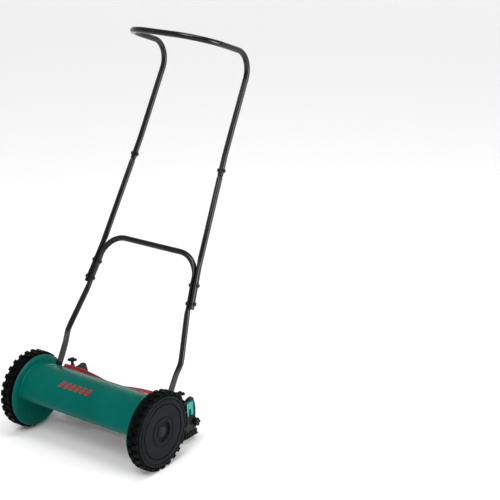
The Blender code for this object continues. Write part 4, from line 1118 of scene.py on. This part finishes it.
def sweep(points, radius, sides):
    """Rings of a round tube along points, carried without twist."""
    tangents = tangents_along(points)
    across = Vector((0, 0, 1)).cross(tangents[0]).normalized()
    rings = []
    for i, (point, tangent) in enumerate(zip(points, tangents)):
        if i:
            across = tangents[i - 1].rotation_difference(tangent) @ across
        up = tangent.cross(across).normalized()
        rings.append([point + (across * math.cos(t) + up * math.sin(t)) * radius for t in turns(sides)])
    return rings


def bolt_ends(x, s, half_length, lean):
    """Ends of a cross bolt, square to tubes that lean inward by `lean` as they rise."""
    across = (up_handle(x, s) - up_handle(0, s)).normalized()
    upward = (up_handle(0, 1) - up_handle(0, 0)).normalized()
    direction = (across + upward * lean).normalized()
    return up_handle(x, s) - direction * half_length, up_handle(x, s) + direction * half_length


def handle_bolts(word, side):
    """Two bolts through the overlap of each leg, and one through the upper joint."""
    for level, (x, s) in {"lower": LOWER_BOLT, "upper": UPPER_BOLT}.items():
        ends = bolt_ends(side * x, s, 2 * OVAL_THICKNESS + 2 * GAP, 0.131)
        fastener(
            f"bolt_{level}_{word}", [f"frame_bolt_{level}_{word}"], "handle", *ends,
            shank=0.003, corner=0.006, height=0.0035, material=DARK_STEEL,
        )
    x, s = MID_BOLT
    ends = bolt_ends(side * x, s, TUBE_RADIUS + GAP, 0.066)
    fastener(
        f"bolt_mid_{word}", [f"mid_bolt_{word}"], "handle", *ends,
        shank=0.003, corner=0.0055, height=0.003, material=DARK_STEEL,
    )


def pivot_bolt(word, side):
    """Bolt from the inside of the handle's foot to the outside of the plate."""
    start = at(side * (FOOT_X - FOOT_HALF_THICKNESS - GAP), *PIVOT)
    end = at(side * (PLATE_WEB_X + GAP), *PIVOT)
    fastener(
        f"pivot_{word}", [f"pivot_bolt_{word}"], "chassis", start, end,
        shank=0.005, corner=0.0085, height=0.0024,
    )


# ------------ assembly

dress_cad_nodes()
for word, side in SIDES.items():
    tyre(word, side)
    wheel(word, side)
    side_plate(word, side)
    adjuster(word, side)
    roller_bracket(word, side)
    clamp_plate(word, side)
    clamp_knob(word, side)
    middle_tube(word, side)
    handle_bolts(word, side)
    pivot_bolt(word, side)
    knife_bolt(word, side)
front_cover()
cover_mark()
for number in range(BLADES):
    reel_blade(number)
for number, x in enumerate(SPIDER_X):
    reel_spider(number, x)
reel_shaft()
roller()
lower_frame()
upper_handle()


# ------------ floor, light and camera


FLOOR_RADIUS = 10
FLOOR_BEND = 3
WALL_TOP = 6
FLOOR_DROP = 0.0002


def floor_material():
    material = bpy.data.materials.new("floor")
    material.use_nodes = True
    shader = material.node_tree.nodes["Principled BSDF"]
    shader.inputs["Base Color"].default_value = (0.96, 0.96, 0.96, 1)
    shader.inputs["Roughness"].default_value = 0.9
    shader.inputs["Specular IOR Level"].default_value = 0.1
    return material


def floor():
    """Pale round floor that curves up into a low wall far from the mower."""
    bend = arc((FLOOR_RADIUS, FLOOR_BEND), FLOOR_BEND, -math.pi / 2, 0, 16)
    profile = [*bend, (FLOOR_RADIUS + FLOOR_BEND, WALL_TOP)]
    sides = 96
    shape = bmesh.new()
    rings = []
    for radius, z in profile:
        points = [(radius * math.cos(t), radius * math.sin(t), z) for t in turns(sides)]
        rings.append([shape.verts.new(point) for point in points])
    shape.faces.new(rings[0])
    for lower, upper in zip(rings, rings[1:]):
        for k in range(sides):
            after = (k + 1) % sides
            shape.faces.new((upper[k], upper[after], lower[after], lower[k]))
    mesh = bpy.data.meshes.new("floor")
    shape.to_mesh(mesh)
    shape.free()
    mesh.shade_smooth()
    mesh.materials.append(floor_material())
    piece = new_object("floor", mesh)
    piece.location.z = -FLOOR_DROP


def aim(piece, direction):
    """Turn a light or camera to face along a direction."""
    piece.rotation_euler = direction.to_track_quat("-Z", "Y").to_euler()


def area_light(name, position, target, size, power):
    """Soft rectangular light that faces a point."""
    light = bpy.data.lights.new(name, "AREA")
    light.shape = "RECTANGLE"
    light.size, light.size_y = size
    light.energy = power
    piece = new_object(name, light)
    piece.location = position
    aim(piece, Vector(target) - Vector(position))


def sun(name, direction, strength, width):
    """Broad distant light, which lights the floor evenly; direction points towards it."""
    light = bpy.data.lights.new(name, "SUN")
    light.energy = strength
    light.angle = math.radians(width)
    aim(new_object(name, light), -Vector(direction))


def world(strength):
    """Even white surroundings."""
    sky = bpy.data.worlds.new("studio")
    sky.use_nodes = True
    background = sky.node_tree.nodes["Background"]
    background.inputs["Color"].default_value = (1, 1, 1, 1)
    background.inputs["Strength"].default_value = strength
    bpy.context.scene.world = sky


CAMERA_TURN = math.radians(35.5447)
CAMERA_RISE = math.radians(19.1941)
CAMERA_RIGHT = 0.42058
CAMERA_UP = 0.42424
CAMERA_BACK = 3.67487
CAMERA_LENS = 98.695


def camera():
    """Level camera to the left of the front, placed from the wheels' axle along its own axes."""
    data = bpy.data.cameras.new("camera")
    data.lens = CAMERA_LENS
    data.sensor_width = 36
    data.clip_end = 100
    ahead = Vector((math.sin(CAMERA_TURN), -math.cos(CAMERA_TURN), 0))
    back = ahead * math.cos(CAMERA_RISE) + Vector((0, 0, math.sin(CAMERA_RISE)))
    right = Vector((math.cos(CAMERA_TURN), math.sin(CAMERA_TURN), 0))
    up = back.cross(right)
    piece = new_object("camera", data)
    axle = Vector((0, AXLE_Y, AXLE_Z))
    piece.location = axle + right * CAMERA_RIGHT + up * CAMERA_UP + back * CAMERA_BACK
    aim(piece, -back)
    bpy.context.scene.camera = piece
    bpy.context.scene.view_settings.view_transform = "Standard"


floor()
world(0.46)
sun("sun", (0.15, -0.75, 1.0), 1.35, 30)
area_light("side", (3.2, 0.55, 1.25), (0, 0, 0.5), (1.2, 2.4), 75)
area_light("top", (0.3, -0.4, 3.8), (0, 0, 0.5), (2.6, 1.0), 45)
camera()
